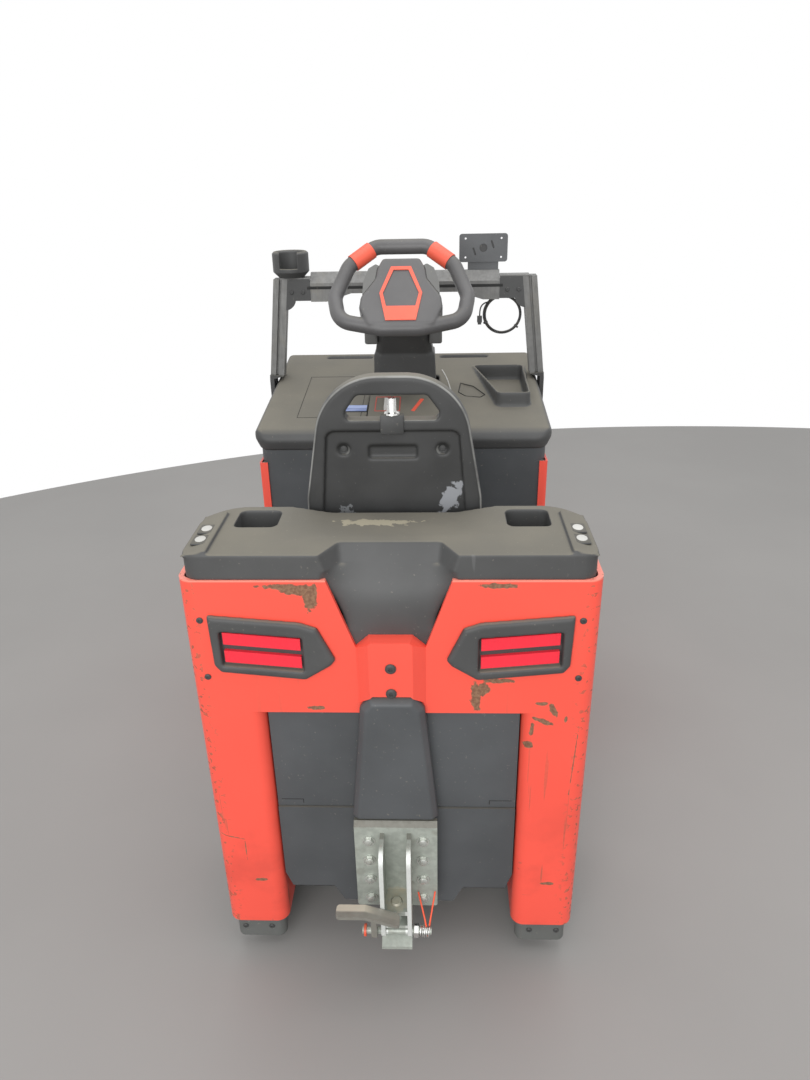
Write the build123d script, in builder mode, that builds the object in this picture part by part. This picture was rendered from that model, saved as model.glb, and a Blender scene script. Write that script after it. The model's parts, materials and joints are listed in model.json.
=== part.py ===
"""Electric stand-in tow tractor with three wheels, a fold-up seat and a multi-height coupling."""

import os
from math import atan2, cos, hypot, radians, sin, tan

from build123d import *

os.makedirs("parts", exist_ok=True)

# Overall sizes, mm: X to the right, Y forwards, Z up from the floor
overall_length = 1560.0
coupling_reach = 130.0
body_width = 790.0
fit = 0.3
over = 1.0

# Distances called "from the rear" count forwards from the rear plate's rear face
rear_y = -overall_length / 2 + coupling_reach
front_end = overall_length - coupling_reach
half_width = body_width / 2

# Rear frame
plate = 10.0
plate_top = 990.0
leg_bottom = 95.0
opening_top = 692.0
leg_width = 138.0
opening_half = half_width - leg_width
bend_radius = 28.0
return_depth = 110.0
side_top_depth = 222.0
side_waist_depth = 258.0
side_waist_z = 560.0
side_fender_z = 400.0
notch_top_half = 118.0
notch_low_half = 67.0
notch_low_z = 845.0
boss_height = 22.0
boss_flat_half = 42.0
boss_top = 868.0
boss_low_half = 48.0
boss_low = 746.0
boss_foot = 716.0
boss_corner = 5.0
pad_low = 33.0
pad_depth = 26.0
pad_height = 150.0
pad_gap = 2.0

# Wheels
wheel_radius = 125.0
wheel_width = 90.0
wheel_inset = 75.0
wheel_side = half_width - wheel_inset
rear_axle_from_rear = 170.0
wheel_house_gap = 40.0
side_foot_depth = rear_axle_from_rear + wheel_radius + wheel_house_gap
arch_gap = 20.0
rim_radius = 84.0
rim_lip = 10.0
shoulder_drop = 10.0
shoulder_width = 12.0
hub_radius = 42.0
axle_radius = 17.5
bearing_gap = 0.05
drive_wheel_width = 100.0
drive_inset = 345.0
drive_from_rear = front_end - drive_inset

# Low chassis
rail_low = 70.0
rail_top = 118.0
rail_inset = 2.0
rail_width = 50.0
rail_outer = opening_half - rail_inset
rail_inner = rail_outer - rail_width
bulkhead = 12.0
axle_beam_top = 165.0
axle_beam_half_depth = 48.0
floor_plate = 6.0
mat_thickness = 8.0
sill_width = 12.0
cross_low = 94.0
cross_depth = 50.0
sill_low = 62.0
floor_inset = 23.0
floor_half = half_width - floor_inset
cross_lead = 40.0
beam_inset = 6.0
stub_proud = 4.0
mat_margin = 8.0
mat_corner = 20.0
mat_edge = 2.0

# Rear top cover
cover_top = 1040.0
cover_low = 955.0
cover_wall_gap = 3.0
cover_half = half_width - plate - cover_wall_gap
cover_depth = 232.0
cover_corner = 88.0
lip_set = 2.0
pocket_side = 71.0
pocket_width = 84.0
pocket_outer = cover_half - pocket_side
pocket_inner = pocket_outer - pocket_width
pocket_corner = 14.0
pocket_back = 129.0
pocket_front = 211.0
pocket_deep = 62.0
strip_width = 49.0
strip_inner = cover_half - strip_width
strip_root = 6.0
strip_rise = 9.0
strip_drop = 4.0
strip_length = 185.0
dip_half = 215.0
dip_flat_half = 127.0
dip_deep = 14.0
dip_start = 0.4
dip_lead = 20.0
funnel_back_half = 130.0
funnel_front_half = 97.0
funnel_depth = 62.0
funnel_draft_back = 24.0
funnel_draft_front = 12.0
tongue = 8.0
tongue_gap = 4.0
tongue_lap_top = 6.0
tongue_lap_low = 10.0
tongue_drop = 14.0

# Rear panels between the legs
panel_inset = 18.0
panel_thick = 12.0
panel_gap = 3.0
seam_z = 430.0
apron_low = 196.0
apron_bump_low = 152.0
apron_bump_half = 146.0
apron_bump_foot = 123.0
apron_inset = 14.0
apron_side_gap = 14.0
apron_corner = 40.0
seam_half = 1.0
panel_overlap = 40.0
bracket_gap = 4.0
bracket_inset = 10.0
bracket_wall = 20.0
bulkhead_drop = 40.0
bulkhead_rise = 60.0
rib_lead = 60.0
rib_inset = 40.0

# Coupling
coupling_plate_half = 88.0
coupling_plate_low = 188.0
coupling_plate_top = 427.0
coupling_plate_corner = 6.0
coupling_plate_edge = 10.0
coupling_plate_thick = 18.0
coupling_face = 30.0
coupling_cover_low = 432.0
coupling_cover_edge = 12.0
coupling_cover_gap = 3.0
coupling_cover_half = 90.0
coupling_cover_proud = 24.0
cheek_inner = 24.0
cheek_thick = 9.0
cheek_reach = 96.0
cheek_low = 186.0
cheek_top = 402.0
cheek_round = 34.0
shelf_thick = 12.0
shelf_top = 236.0
shelf_inset = 8.0
lip_thick = 8.0
pin_radius = 13.0
pin_from_face = 32.0
pin_proud = 4.0
pin_edge = 3.0
pedal_left = 124.0
pedal_bend = 64.0
pedal_right = 8.0
pedal_top = 268.0
pedal_tip_top = 242.0
pedal_thick = 8.0
pedal_gap = 2.0
pedal_corner = 8.0
arm_half = 6.0
arm_gap = 8.0
arm_deep = 14.0
shaft_half = 75.0
shaft_z = 172.0
shaft_from_face = 52.0
shaft_radius = 8.0
ear_round = 14.0
guard_low = 130.0
guard_rise = 40.0
guard_thick = 8.0

# Tail lamps
lamp_low = 775.0
lamp_height = 143.0
bezel_proud = 12.0
bezel_sunk = 14.0
bezel_lip = 11.0
lens_recess = 16.0
lens_thick = 8.0
lens_margin = 5.0
bezel_edge = 5.0
lens_outer = 0.81 * half_width
lens_inner = 0.4355 * half_width
lens_low_inner = 800.0
lens_low_outer = 814.0
lens_high_inner = 866.0
lens_high_outer = 880.0
lens_split = 14.0

# Backrest and seat
inner_panel = 8.0
panel_lead = 28.0
panel_lap = 28.0
shell_thick = 34.0
shell_low = 950.0
shell_low_half = 185.0
shell_waist_z = 1050.0
shell_waist_half = 182.0
shell_top_half = 138.0
shell_round = 130.0
shell_top = 1305.0
slot_low = 1216.0
slot_high = 1267.0
slot_low_half = 106.0
slot_high_half = 70.0
recess_deep = 10.0
recess_low = 985.0
recess_high = 1193.0
recess_low_half = 152.0
recess_high_half = 134.0
well_deep = 7.0
well_radius = 12.0
well_inset = 33.0
well_drop = 41.0
hold_width = 100.0
hold_height = 28.0
hold_corner = 6.0
hold_drop = 47.0
shell_edge = 9.0
slot_corner = 12.0
recess_corner = 16.0
pad_half = 150.0
back_pad_low = 965.0
back_pad_top = 1198.0
back_pad_thick = 32.0
back_pad_corner = 40.0
seat_hinge_z = 640.0
seat_gap = 15.0
seat_height = 280.0
seat_low = seat_hinge_z + seat_gap
seat_top = seat_low + seat_height
seat_pad_thick = 40.0
seat_pan_thick = 14.0
seat_stand_off = 9.0
seat_pan_rise = 6.0
seat_pan_margin = 5.0
seat_pan_corner = 60.0
seat_pan_foot_corner = 12.0
seat_pad_rise = 10.0
seat_pad_corner = 58.0
seat_pad_foot_corner = 24.0
hinge_lead = 2.0
hinge_pin_radius = 7.0
hinge_eye_radius = 15.0
hinge_lug_x = 120.0
hinge_lug_width = 18.0
lug_low = 45.0
lug_high = 5.0
eye_gap = 2.0
eye_trim = 3.0
eye_lap = 20.0

# Front body
front_wall_share = 0.4895
front_wall_from_rear = front_wall_share * front_end
front_inset = 15.0
front_half = half_width - front_inset
shell_sheet = 5.0
shell_low_z = 80.0
shell_top_z = 966.0
front_corner = 105.0
return_width = 22.0
return_bend = 8.0
wall_thick = 8.0
wall_gap = 4.0
collar_inset = 5.0
collar_wide = 48.0
collar_ends = 45.0
collar_corner = 30.0
hood_seam = 1000.0
hood_overhang = 10.0
hood_half = front_half + hood_overhang
hood_rear = front_wall_from_rear - hood_overhang
hood_front_inset = 25.0
hood_front_run = 115.0
hood_front_low = front_end - hood_front_inset
hood_front_top = hood_front_low - hood_front_run
hood_lip = 25.0
hood_break = 20.0
hood_nose = 45.0
hood_rear_z = 1057.0
hood_front_z = 1122.0
hood_wall = 12.0
hood_rim = 28.0
hood_round = 22.0
hood_roll = 34.0
hood_tuck = 12.0
hood_skirt = 28.0
hood_rear_corner = 45.0
tray_lead = 142.0
tray_front_gap = 118.0
tray_rear_edge = 46.0
tray_rear_width = 90.0
tray_front_edge = 34.0
tray_front_width = 158.0
tray_rear = front_wall_from_rear + tray_lead
tray_front = hood_front_top - tray_front_gap
tray_rear_outer = hood_half - tray_rear_edge
tray_rear_inner = tray_rear_outer - tray_rear_width
tray_front_outer = hood_half - tray_front_edge
tray_front_inner = tray_front_outer - tray_front_width
tray_rim = 1112.0
tray_floor = 1064.0
tray_wall = 7.0
tray_base = 8.0
tray_corner = 16.0
tray_pocket_corner = 12.0
tray_clearance = 40.0
dash_half = 96.0
dash_lead = 22.0
dash_rear = front_wall_from_rear + dash_lead
dash_deep = 22.0
dash_proud = 10.0
dash_sunk = 4.0
dash_step = 30.0
column_lead = 262.0
column_depth = 136.0
column_rear = front_wall_from_rear + column_lead
column_front = column_rear + column_depth
column_foot_rise = 10.0
column_half = 92.0
column_waist_half = 85.0
column_waist_z = 1195.0
column_lean = 30.0
column_taper = 6.0
neck_half = 58.0
neck_lean = 38.0
neck_side_step = 4.0
neck_depth_step = 36.0
neck_top_depth = 96.0
neck_top_drop = 6.0
neck_end = 52.0
column_edge = 14.0
column_shaft = 20.0
bumper_low = 62.0
bumper_top = 215.0
bumper_thick = 12.0
bumper_wrap = 330.0
bumper_edge = 4.0
headlamp_inset = 195.0
headlamp_x = front_half - headlamp_inset
headlamp_z = 640.0
headlamp_width = 150.0
headlamp_height = 62.0
headlamp_corner = 14.0
headlamp_rim = 8.0
headlamp_rim_corner = 20.0
headlamp_lens_corner = 8.0
headlamp_deep = 24.0
headlamp_back = 4.0
headlamp_lens_set = 2.0

# Drive unit and battery
battery_side_gap = 68.0
battery_front_gap = 74.0
battery_width = 2 * (front_half - battery_side_gap)
battery_height = 627.0
bridge_top = 357.0
bridge_plate = 12.0
bridge_half_depth = 125.0
bridge_foot = 30.0
turntable_radius = 108.0
turntable_thick = 27.0
fork_gap = 8.0
fork_leg = 20.0
fork_leg_depth = 90.0
kingpin_radius = 30.0
motor_radius = 85.0
motor_height = 210.0
motor_edge = 10.0

# Steering wheel
wheel_tilt = 40.0
wheel_lead = 140.0
wheel_from_rear = front_wall_from_rear + wheel_lead
wheel_z = 1390.0
rim_tube = 19.0
rim_flat = 0.5
rim_corner = 44.0
wheel_half = 189.0
wheel_half_high = 137.2
hub_thick = 46.0
hub_corner = 10.0
hub_round = 6.0
hub_half = 106.0
trim_proud = 3.0
paddle_thick = 26.0
paddle_drop = 5.0
paddle_corner = 6.0
grip_length = 60.0
grip_wall = 2.5

# Accessory bar
post_size = 40.0
post_slot = 8.0
post_slot_deep = 11.0
post_foot_inset = 6.0
post_lean_in = 32.0
post_foot_x = hood_half - post_foot_inset
post_top_x = post_foot_x - post_lean_in
post_foot_z = 1112.0
post_top_z = 1385.0
post_inset = 13.0
post_from_rear = column_front - post_inset
bar_low = 1344.0
bar_face = 29.0
bar_slope = 26.0
bar_end_gap = 84.0
bar_half = post_top_x - bar_end_gap
bar_flange = 3.0
bar_depth = 44.0
bar_end_deep = 22.0
bar_end_length = 46.0
bar_end_taper = 70.0
bracket_plate = 8.0
bracket_low = 1325.0
bracket_gusset = 26.0
foot_plate = 12.0
foot_low = 880.0
foot_width = 64.0
foot_gap = 3.0
foot_shoulder = 14.0
foot_hood_gap = 4.0
foot_step = 16.0
gland_radius = 7.0
gland_tip_radius = 4.0
gland_gap = 2.6
terminal_inset = 46.0
terminal_x = bar_half - terminal_inset
terminal_bracket_half = 43.0
terminal_bracket = 6.0
terminal_lap = 14.0
terminal_corner = 8.0
terminal_ring = 11.0
terminal_slot_radius = 27.0
terminal_slot_length = 22.0
terminal_slot_width = 5.0
terminal_width = 135.0
terminal_height = 75.0
terminal_low = 1420.0
terminal_sheet = 4.0
terminal_pitch_x = 100.0
terminal_pitch_z = 50.0
terminal_hole = 2.75
cup_inset = 30.0
cup_x = cup_inset - post_top_x
cup_radius = 51.0
cup_bore = 37.0
cup_floor = 12.0
cup_height = 70.0
cup_foot_edge = 16.0
cup_notch_half = 25.0
cup_notch_low = 26.0
cup_prong_edge = 5.0
coil_lead = 12.0
coil_x = bar_half + coil_lead
coil_z = 1277.0
coil_radius = 53.0
coil_thick = 5.0
cable_radius = 2.0
connector_width = 14.0
connector_depth = 9.0
connector_length = 18.0
connector_corner = 2.0
plug_width = 10.0
plug_depth = 6.0
plug_length = 6.0


def at(distance):
    """Y of a place so far in front of the rear plate's rear face."""
    return rear_y + distance


def plan_view(z):
    """Plane seen from above: local x is X, local y is the distance from the rear."""
    return Plane(origin=(0, rear_y, z), x_dir=(1, 0, 0), z_dir=(0, 0, 1))


def rear_view(distance):
    """Plane seen from behind: local x is X, local y is Z, a positive extrusion goes rearwards."""
    return Plane(origin=(0, at(distance), 0), x_dir=(1, 0, 0), z_dir=(0, -1, 0))


def side_view(x):
    """Plane seen from the right: local x is the distance from the rear, local y is Z."""
    return Plane(origin=(x, rear_y, 0), x_dir=(0, 1, 0), z_dir=(1, 0, 0))


def bent_sheet(points, radius, thickness, side):
    """Face of a folded sheet: its outer line with bend radii, and its thickness to one side."""
    with BuildLine() as folded:
        FilletPolyline(*points, radius=radius)
        offset(amount=thickness, side=side)
    make_face(folded.edges())


def mirrored(points):
    """Outline of the left piece from the points of the right one."""
    return [(-x, z) for x, z in points]


# Rear frame: one bent plate with both side walls, two legs and a raised boss over the coupling
lamp_outline = [
    (0.8735 * half_width, lamp_low + lamp_height),
    (0.433 * half_width, lamp_low + 0.888 * lamp_height),
    (0.3495 * half_width, lamp_low + 0.804 * lamp_height),
    (0.2685 * half_width, lamp_low + 0.315 * lamp_height),
    (0.2935 * half_width, lamp_low + 0.224 * lamp_height),
    (0.42 * half_width, lamp_low),
    (0.8355 * half_width, lamp_low + 0.119 * lamp_height),
    (0.866 * half_width, lamp_low + 0.231 * lamp_height),
]
boss_outline = [
    (-notch_low_half, boss_foot),
    (-boss_low_half, boss_low),
    (boss_low_half, boss_low),
    (notch_low_half, boss_foot),
    (notch_low_half, notch_low_z),
    (boss_flat_half, boss_top),
    (-boss_flat_half, boss_top),
    (-notch_low_half, notch_low_z),
]
boss_face = [
    (-boss_flat_half, boss_low - boss_corner),
    (-boss_flat_half + boss_corner, boss_low),
    (boss_flat_half - boss_corner, boss_low),
    (boss_flat_half, boss_low - boss_corner),
    (boss_flat_half, boss_top - boss_corner),
    (boss_flat_half - boss_corner, boss_top),
    (-boss_flat_half + boss_corner, boss_top),
    (-boss_flat_half, boss_top - boss_corner),
]
with BuildPart() as rear_frame:
    with BuildSketch(plan_view(opening_top)):
        belt = [
            (-half_width, side_foot_depth),
            (-half_width, 0),
            (half_width, 0),
            (half_width, side_foot_depth),
        ]
        bent_sheet(belt, bend_radius, plate, Side.LEFT)
    extrude(amount=plate_top - opening_top)
    with BuildSketch(plan_view(leg_bottom)):
        leg_bends = [
            (opening_half, return_depth),
            (opening_half, 0),
            (half_width, 0),
            (half_width, side_foot_depth),
        ]
        bent_sheet(leg_bends, bend_radius, plate, Side.LEFT)
    leg = extrude(amount=opening_top - leg_bottom)
    mirror(leg, about=Plane.YZ)
    # Slanted front edges of the side walls
    with BuildSketch(side_view(0)):
        Polygon(
            (side_top_depth, plate_top + over),
            (side_top_depth, plate_top),
            (side_waist_depth, side_waist_z),
            (side_foot_depth, side_fender_z),
            (side_foot_depth + over, side_fender_z),
            (side_foot_depth + over, plate_top + over),
            align=None,
        )
    extrude(amount=half_width + over, both=True, mode=Mode.SUBTRACT)
    # Wheel arches
    with BuildSketch(side_view(-half_width - over), side_view(half_width - plate - over)):
        with Locations((rear_axle_from_rear, wheel_radius)):
            Circle(wheel_radius + arch_gap)
    extrude(amount=plate + 2 * over, mode=Mode.SUBTRACT)
    # Notch under the top cover's tongue, and the lamp windows
    with BuildSketch(rear_view(-over)):
        Polygon(
            (-notch_top_half, plate_top + over),
            (-notch_low_half, notch_low_z),
            (notch_low_half, notch_low_z),
            (notch_top_half, plate_top + over),
            align=None,
        )
        for outline in (lamp_outline, mirrored(lamp_outline)):
            with BuildSketch(mode=Mode.PRIVATE) as window:
                Polygon(*outline, align=None)
                offset(amount=fit - bezel_lip, kind=Kind.INTERSECTION)
            add(window.sketch)
    extrude(amount=-(plate + 2 * over), mode=Mode.SUBTRACT)
    with BuildSketch(rear_view(plate)):
        Polygon(*boss_outline, align=None)
    extrude(amount=plate)
    with BuildSketch(rear_view(0)):
        Polygon(*boss_outline, align=None)
    with BuildSketch(rear_view(-boss_height)):
        Polygon(*boss_face, align=None)
    loft()
rear_frame.part.label = "rear_frame"
export_step(rear_frame.part, "parts/rear_frame.step")

# Pads in the feet of the legs
with BuildPart() as leg_pads:
    with BuildSketch(plan_view(pad_low)) as pad_plan:
        pad_inner = opening_half + plate + pad_gap
        pad_outer = half_width - plate - pad_gap
        with Locations(((pad_inner + pad_outer) / 2, plate + pad_depth / 2)):
            Rectangle(pad_outer - pad_inner, pad_depth)
        fillet(pad_plan.vertices().group_by(Axis.Y)[0], bend_radius - plate + over)
        mirror(about=Plane.YZ)
    extrude(amount=pad_height)
leg_pads.part.label = "leg_pads"
export_step(leg_pads.part, "parts/leg_pads.step")

# Tail lamps: a bezel through each window, with two red bars on its recessed floor
lens_middle_inner = (lens_low_inner + lens_high_inner) / 2
lens_middle_outer = (lens_low_outer + lens_high_outer) / 2
lens_frame = [
    (lens_inner - lens_margin, lens_low_inner - lens_margin),
    (lens_outer + lens_margin, lens_low_outer - lens_margin),
    (lens_outer + lens_margin, lens_high_outer + lens_margin),
    (lens_inner - lens_margin, lens_high_inner + lens_margin),
]
lens_upper = [
    (lens_inner, lens_middle_inner + lens_split / 2),
    (lens_outer, lens_middle_outer + lens_split / 2),
    (lens_outer, lens_high_outer),
    (lens_inner, lens_high_inner),
]
lens_lower = [
    (lens_inner, lens_low_inner),
    (lens_outer, lens_low_outer),
    (lens_outer, lens_middle_outer - lens_split / 2),
    (lens_inner, lens_middle_inner - lens_split / 2),
]
with BuildPart() as tail_lamp_bezels:
    with BuildSketch(rear_view(0)):
        Polygon(*lamp_outline, align=None)
    extrude(amount=bezel_proud)
    rim_edges = tail_lamp_bezels.faces().sort_by(Axis.Y)[0].edges()
    chamfer(rim_edges, bezel_edge)
    with BuildSketch(rear_view(0)):
        Polygon(*lamp_outline, align=None)
        offset(amount=-bezel_lip, kind=Kind.INTERSECTION)
    extrude(amount=-bezel_sunk)
    with BuildSketch(rear_view(-bezel_proud)):
        Polygon(*lens_frame, align=None)
    extrude(amount=-lens_recess, mode=Mode.SUBTRACT)
    mirror(about=Plane.YZ)
tail_lamp_bezels.part.label = "tail_lamp_bezels"
export_step(tail_lamp_bezels.part, "parts/tail_lamp_bezels.step")

with BuildPart() as tail_lamp_lenses:
    with BuildSketch(rear_view(lens_recess - bezel_proud)):
        Polygon(*lens_upper, align=None)
        Polygon(*lens_lower, align=None)
        mirror(about=Plane.YZ)
    extrude(amount=lens_thick)
tail_lamp_lenses.part.label = "tail_lamp_lenses"
export_step(tail_lamp_lenses.part, "parts/tail_lamp_lenses.step")

# Rear top cover: moulded lid with a funnel and tongue in the middle, pockets and button strips
with BuildPart() as rear_top_cover:
    with BuildSketch(plan_view(cover_low)) as cover_plan:
        with Locations((0, (plate + cover_depth) / 2)):
            Rectangle(2 * cover_half, cover_depth - plate)
        fillet(cover_plan.vertices().group_by(Axis.Y)[-1], cover_corner)
        fillet(cover_plan.vertices().group_by(Axis.Y)[0], bend_radius - plate + over)
    extrude(amount=cover_top - cover_low)
    # Lip over the rear plate
    with BuildSketch(plan_view(plate_top)) as lip_plan:
        with Locations((0, cover_corner / 2 + lip_set)):
            Rectangle(2 * cover_half, cover_corner)
        fillet(lip_plan.vertices().group_by(Axis.Y)[0], bend_radius)
    extrude(amount=cover_top - plate_top)
    # Slanted strips for the push buttons
    with BuildSketch(rear_view(strip_root)):
        Polygon(
            (strip_inner, cover_top - strip_root),
            (strip_inner, cover_top + strip_rise),
            (cover_half, cover_top - strip_drop),
            (cover_half, cover_top - strip_root),
            align=None,
        )
    strip = extrude(amount=-strip_length)
    mirror(strip, about=Plane.YZ)
    # Front edge that dips behind the backrest
    with BuildSketch(rear_view(cover_depth + over)):
        Polygon(
            (-dip_half, cover_top + over),
            (-dip_flat_half, cover_top - dip_deep),
            (dip_flat_half, cover_top - dip_deep),
            (dip_half, cover_top + over),
            align=None,
        )
    with BuildSketch(rear_view(funnel_depth + dip_lead)):
        Polygon(
            (-dip_half, cover_top + over),
            (-dip_flat_half, cover_top + dip_start),
            (dip_flat_half, cover_top + dip_start),
            (dip_half, cover_top + over),
            align=None,
        )
    loft(mode=Mode.SUBTRACT)
    # Funnel cut in the rear edge, its floor running down to the tongue
    with BuildSketch(plan_view(cover_top + over)):
        Polygon(
            (-funnel_back_half, -over),
            (-funnel_front_half, funnel_depth),
            (funnel_front_half, funnel_depth),
            (funnel_back_half, -over),
            align=None,
        )
    with BuildSketch(plan_view(cover_low - over)):
        Polygon(
            (-funnel_back_half + funnel_draft_back, -over),
            (-funnel_front_half + funnel_draft_front, plate + tongue_gap),
            (funnel_front_half - funnel_draft_front, plate + tongue_gap),
            (funnel_back_half - funnel_draft_back, -over),
            align=None,
        )
    loft(mode=Mode.SUBTRACT)
    # Tongue that fills the notch in the rear plate
    with BuildSketch(rear_view(plate + tongue_gap + tongue)):
        Polygon(
            (-notch_top_half - tongue_lap_top, cover_low + tongue_gap),
            (-notch_low_half - tongue_lap_low, notch_low_z - tongue_drop),
            (notch_low_half + tongue_lap_low, notch_low_z - tongue_drop),
            (notch_top_half + tongue_lap_top, cover_low + tongue_gap),
            align=None,
        )
    extrude(amount=tongue + tongue_gap - fit)
    # Pockets in the top
    with BuildSketch(plan_view(cover_top + strip_rise)) as pockets:
        for side in (-1, 1):
            with Locations((side * (pocket_inner + pocket_outer) / 2, (pocket_back + pocket_front) / 2)):
                Rectangle(pocket_outer - pocket_inner, pocket_front - pocket_back)
        fillet(pockets.vertices(), pocket_corner)
    extrude(amount=-pocket_deep - strip_rise, mode=Mode.SUBTRACT)
rear_top_cover.part.label = "rear_top_cover"
export_step(rear_top_cover.part, "parts/rear_top_cover.step")

# Panels between the legs
panel_half = opening_half - panel_gap
with BuildPart() as rear_upper_panel:
    with BuildSketch(rear_view(panel_inset)):
        Polygon(
            (-panel_half, seam_z + seam_half),
            (panel_half, seam_z + seam_half),
            (panel_half, opening_top + panel_overlap),
            (-panel_half, opening_top + panel_overlap),
            align=None,
        )
    extrude(amount=-panel_thick)
rear_upper_panel.part.label = "rear_upper_panel"
export_step(rear_upper_panel.part, "parts/rear_upper_panel.step")

with BuildPart() as rear_apron:
    apron_half = panel_half - apron_side_gap
    bracket_width = 2 * (coupling_plate_half - bracket_inset)
    bracket_height = coupling_plate_top - coupling_plate_low - 2 * bracket_inset
    with BuildSketch(rear_view(apron_inset)):
        Polygon(
            (-apron_half, apron_low),
            (-apron_bump_half, apron_low),
            (-apron_bump_foot, apron_bump_low),
            (apron_bump_foot, apron_bump_low),
            (apron_bump_half, apron_low),
            (apron_half, apron_low),
            (panel_half, apron_low + apron_corner),
            (panel_half, seam_z - seam_half),
            (-panel_half, seam_z - seam_half),
            (-panel_half, apron_low + apron_corner),
            align=None,
        )
        with Locations((0, (coupling_plate_low + coupling_plate_top) / 2)):
            Rectangle(
                bracket_width + 2 * bracket_gap,
                bracket_height + 2 * bracket_gap,
                mode=Mode.SUBTRACT,
            )
    extrude(amount=apron_inset - panel_inset - panel_thick)
rear_apron.part.label = "rear_apron"
export_step(rear_apron.part, "parts/rear_apron.step")

# Bulkhead between the legs, which carries the panels and the coupling
bulkhead_from_rear = return_depth
bulkhead_front = bulkhead_from_rear + bulkhead
coupling_back = coupling_plate_thick - coupling_face
with BuildPart() as rear_bulkhead:
    with BuildSketch(rear_view(bulkhead_front)):
        Polygon(
            (-opening_half - plate, axle_beam_top - bulkhead_drop),
            (opening_half + plate, axle_beam_top - bulkhead_drop),
            (opening_half + plate, opening_top + bulkhead_rise),
            (-opening_half - plate, opening_top + bulkhead_rise),
            align=None,
        )
    extrude(amount=bulkhead)
    # Ribs that hold the two panels
    rib_low = apron_low + rib_lead
    with BuildSketch(rear_view(bulkhead_from_rear)):
        for side in (-1, 1):
            with Locations((side * (panel_half - rib_inset), (rib_low + opening_top) / 2)):
                Rectangle(plate, opening_top - rib_low)
    extrude(amount=bulkhead_from_rear - panel_inset - panel_thick)
    # Hollow bracket that carries the coupling plate
    with BuildSketch(rear_view(bulkhead_from_rear)):
        with Locations((0, (coupling_plate_low + coupling_plate_top) / 2)):
            Rectangle(bracket_width, bracket_height)
            Rectangle(bracket_width - 2 * bracket_wall, bracket_height - 2 * bracket_wall, mode=Mode.SUBTRACT)
    extrude(amount=bulkhead_from_rear - coupling_back)
rear_bulkhead.part.label = "rear_bulkhead"
export_step(rear_bulkhead.part, "parts/rear_bulkhead.step")

# Coupling: bolted plate, jaw with three shelves, pin and foot lever
with BuildPart() as coupling_plate:
    with BuildSketch(rear_view(coupling_back)) as plate_outline:
        with Locations((0, (coupling_plate_low + coupling_plate_top) / 2)):
            Rectangle(2 * coupling_plate_half, coupling_plate_top - coupling_plate_low)
        fillet(plate_outline.vertices().group_by(Axis.Y)[0], coupling_plate_corner)
    extrude(amount=coupling_plate_thick)
    chamfer(coupling_plate.faces().sort_by(Axis.Y)[0].edges().sort_by(Axis.Z)[-1], coupling_plate_edge)
coupling_plate.part.label = "coupling_plate"
export_step(coupling_plate.part, "parts/coupling_plate.step")

pin_from_rear = -coupling_face - pin_from_face
shaft_from_rear = -coupling_face - shaft_from_face
guard_rear = shaft_from_rear - ear_round
with BuildPart() as coupling_jaw:
    # Two cheeks with rounded tops, which hold the foot lever's shaft in their feet
    with BuildSketch(side_view(cheek_inner)) as cheek:
        Polygon(
            (-coupling_face, cheek_low),
            (-cheek_reach, cheek_low),
            (-cheek_reach, cheek_top),
            (-coupling_face, cheek_top),
            align=None,
        )
        fillet(cheek.vertices().group_by(Axis.X)[0].sort_by(Axis.Y)[-1], cheek_round)
        Polygon(
            (-coupling_face, cheek_low + lip_thick),
            (guard_rear, cheek_low + lip_thick),
            (guard_rear, shaft_z),
            (shaft_from_rear, shaft_z - ear_round),
            (-coupling_face, shaft_z),
            align=None,
        )
        with Locations((shaft_from_rear, shaft_z)):
            Circle(shaft_radius + bearing_gap, mode=Mode.SUBTRACT)
    right_cheek = extrude(amount=cheek_thick)
    mirror(right_cheek, about=Plane.YZ)
    # Shelf and lower lip with the pin's bore, the mouth for the drawbar eye between them
    shelf_rear = cheek_reach - shelf_inset
    for shelf_low, thickness in ((shelf_top - shelf_thick, shelf_thick), (cheek_low, lip_thick)):
        with BuildSketch(plan_view(shelf_low)):
            with Locations((0, -(coupling_face + shelf_rear) / 2)):
                Rectangle(2 * cheek_inner, shelf_rear - coupling_face)
            with Locations((0, pin_from_rear)):
                Circle(pin_radius + bearing_gap, mode=Mode.SUBTRACT)
        extrude(amount=thickness)
    # Sloping guard below the shaft
    with BuildSketch(side_view(-cheek_inner - cheek_thick)):
        Polygon(
            (-coupling_face, guard_low + guard_rise),
            (guard_rear, guard_low),
            (guard_rear, guard_low + guard_thick),
            (-coupling_face, guard_low + guard_rise + guard_thick),
            align=None,
        )
    extrude(amount=2 * (cheek_inner + cheek_thick))
coupling_jaw.part.label = "coupling_jaw"
export_step(coupling_jaw.part, "parts/coupling_jaw.step")

with BuildPart() as coupling_pin:
    with BuildSketch(plan_view(cheek_low)):
        with Locations((0, pin_from_rear)):
            Circle(pin_radius)
    extrude(amount=shelf_top + pin_proud - cheek_low)
    chamfer(coupling_pin.edges().filter_by(GeomType.CIRCLE), pin_edge)
coupling_pin.part.label = "coupling_pin"
export_step(coupling_pin.part, "parts/coupling_pin.step")

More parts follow.
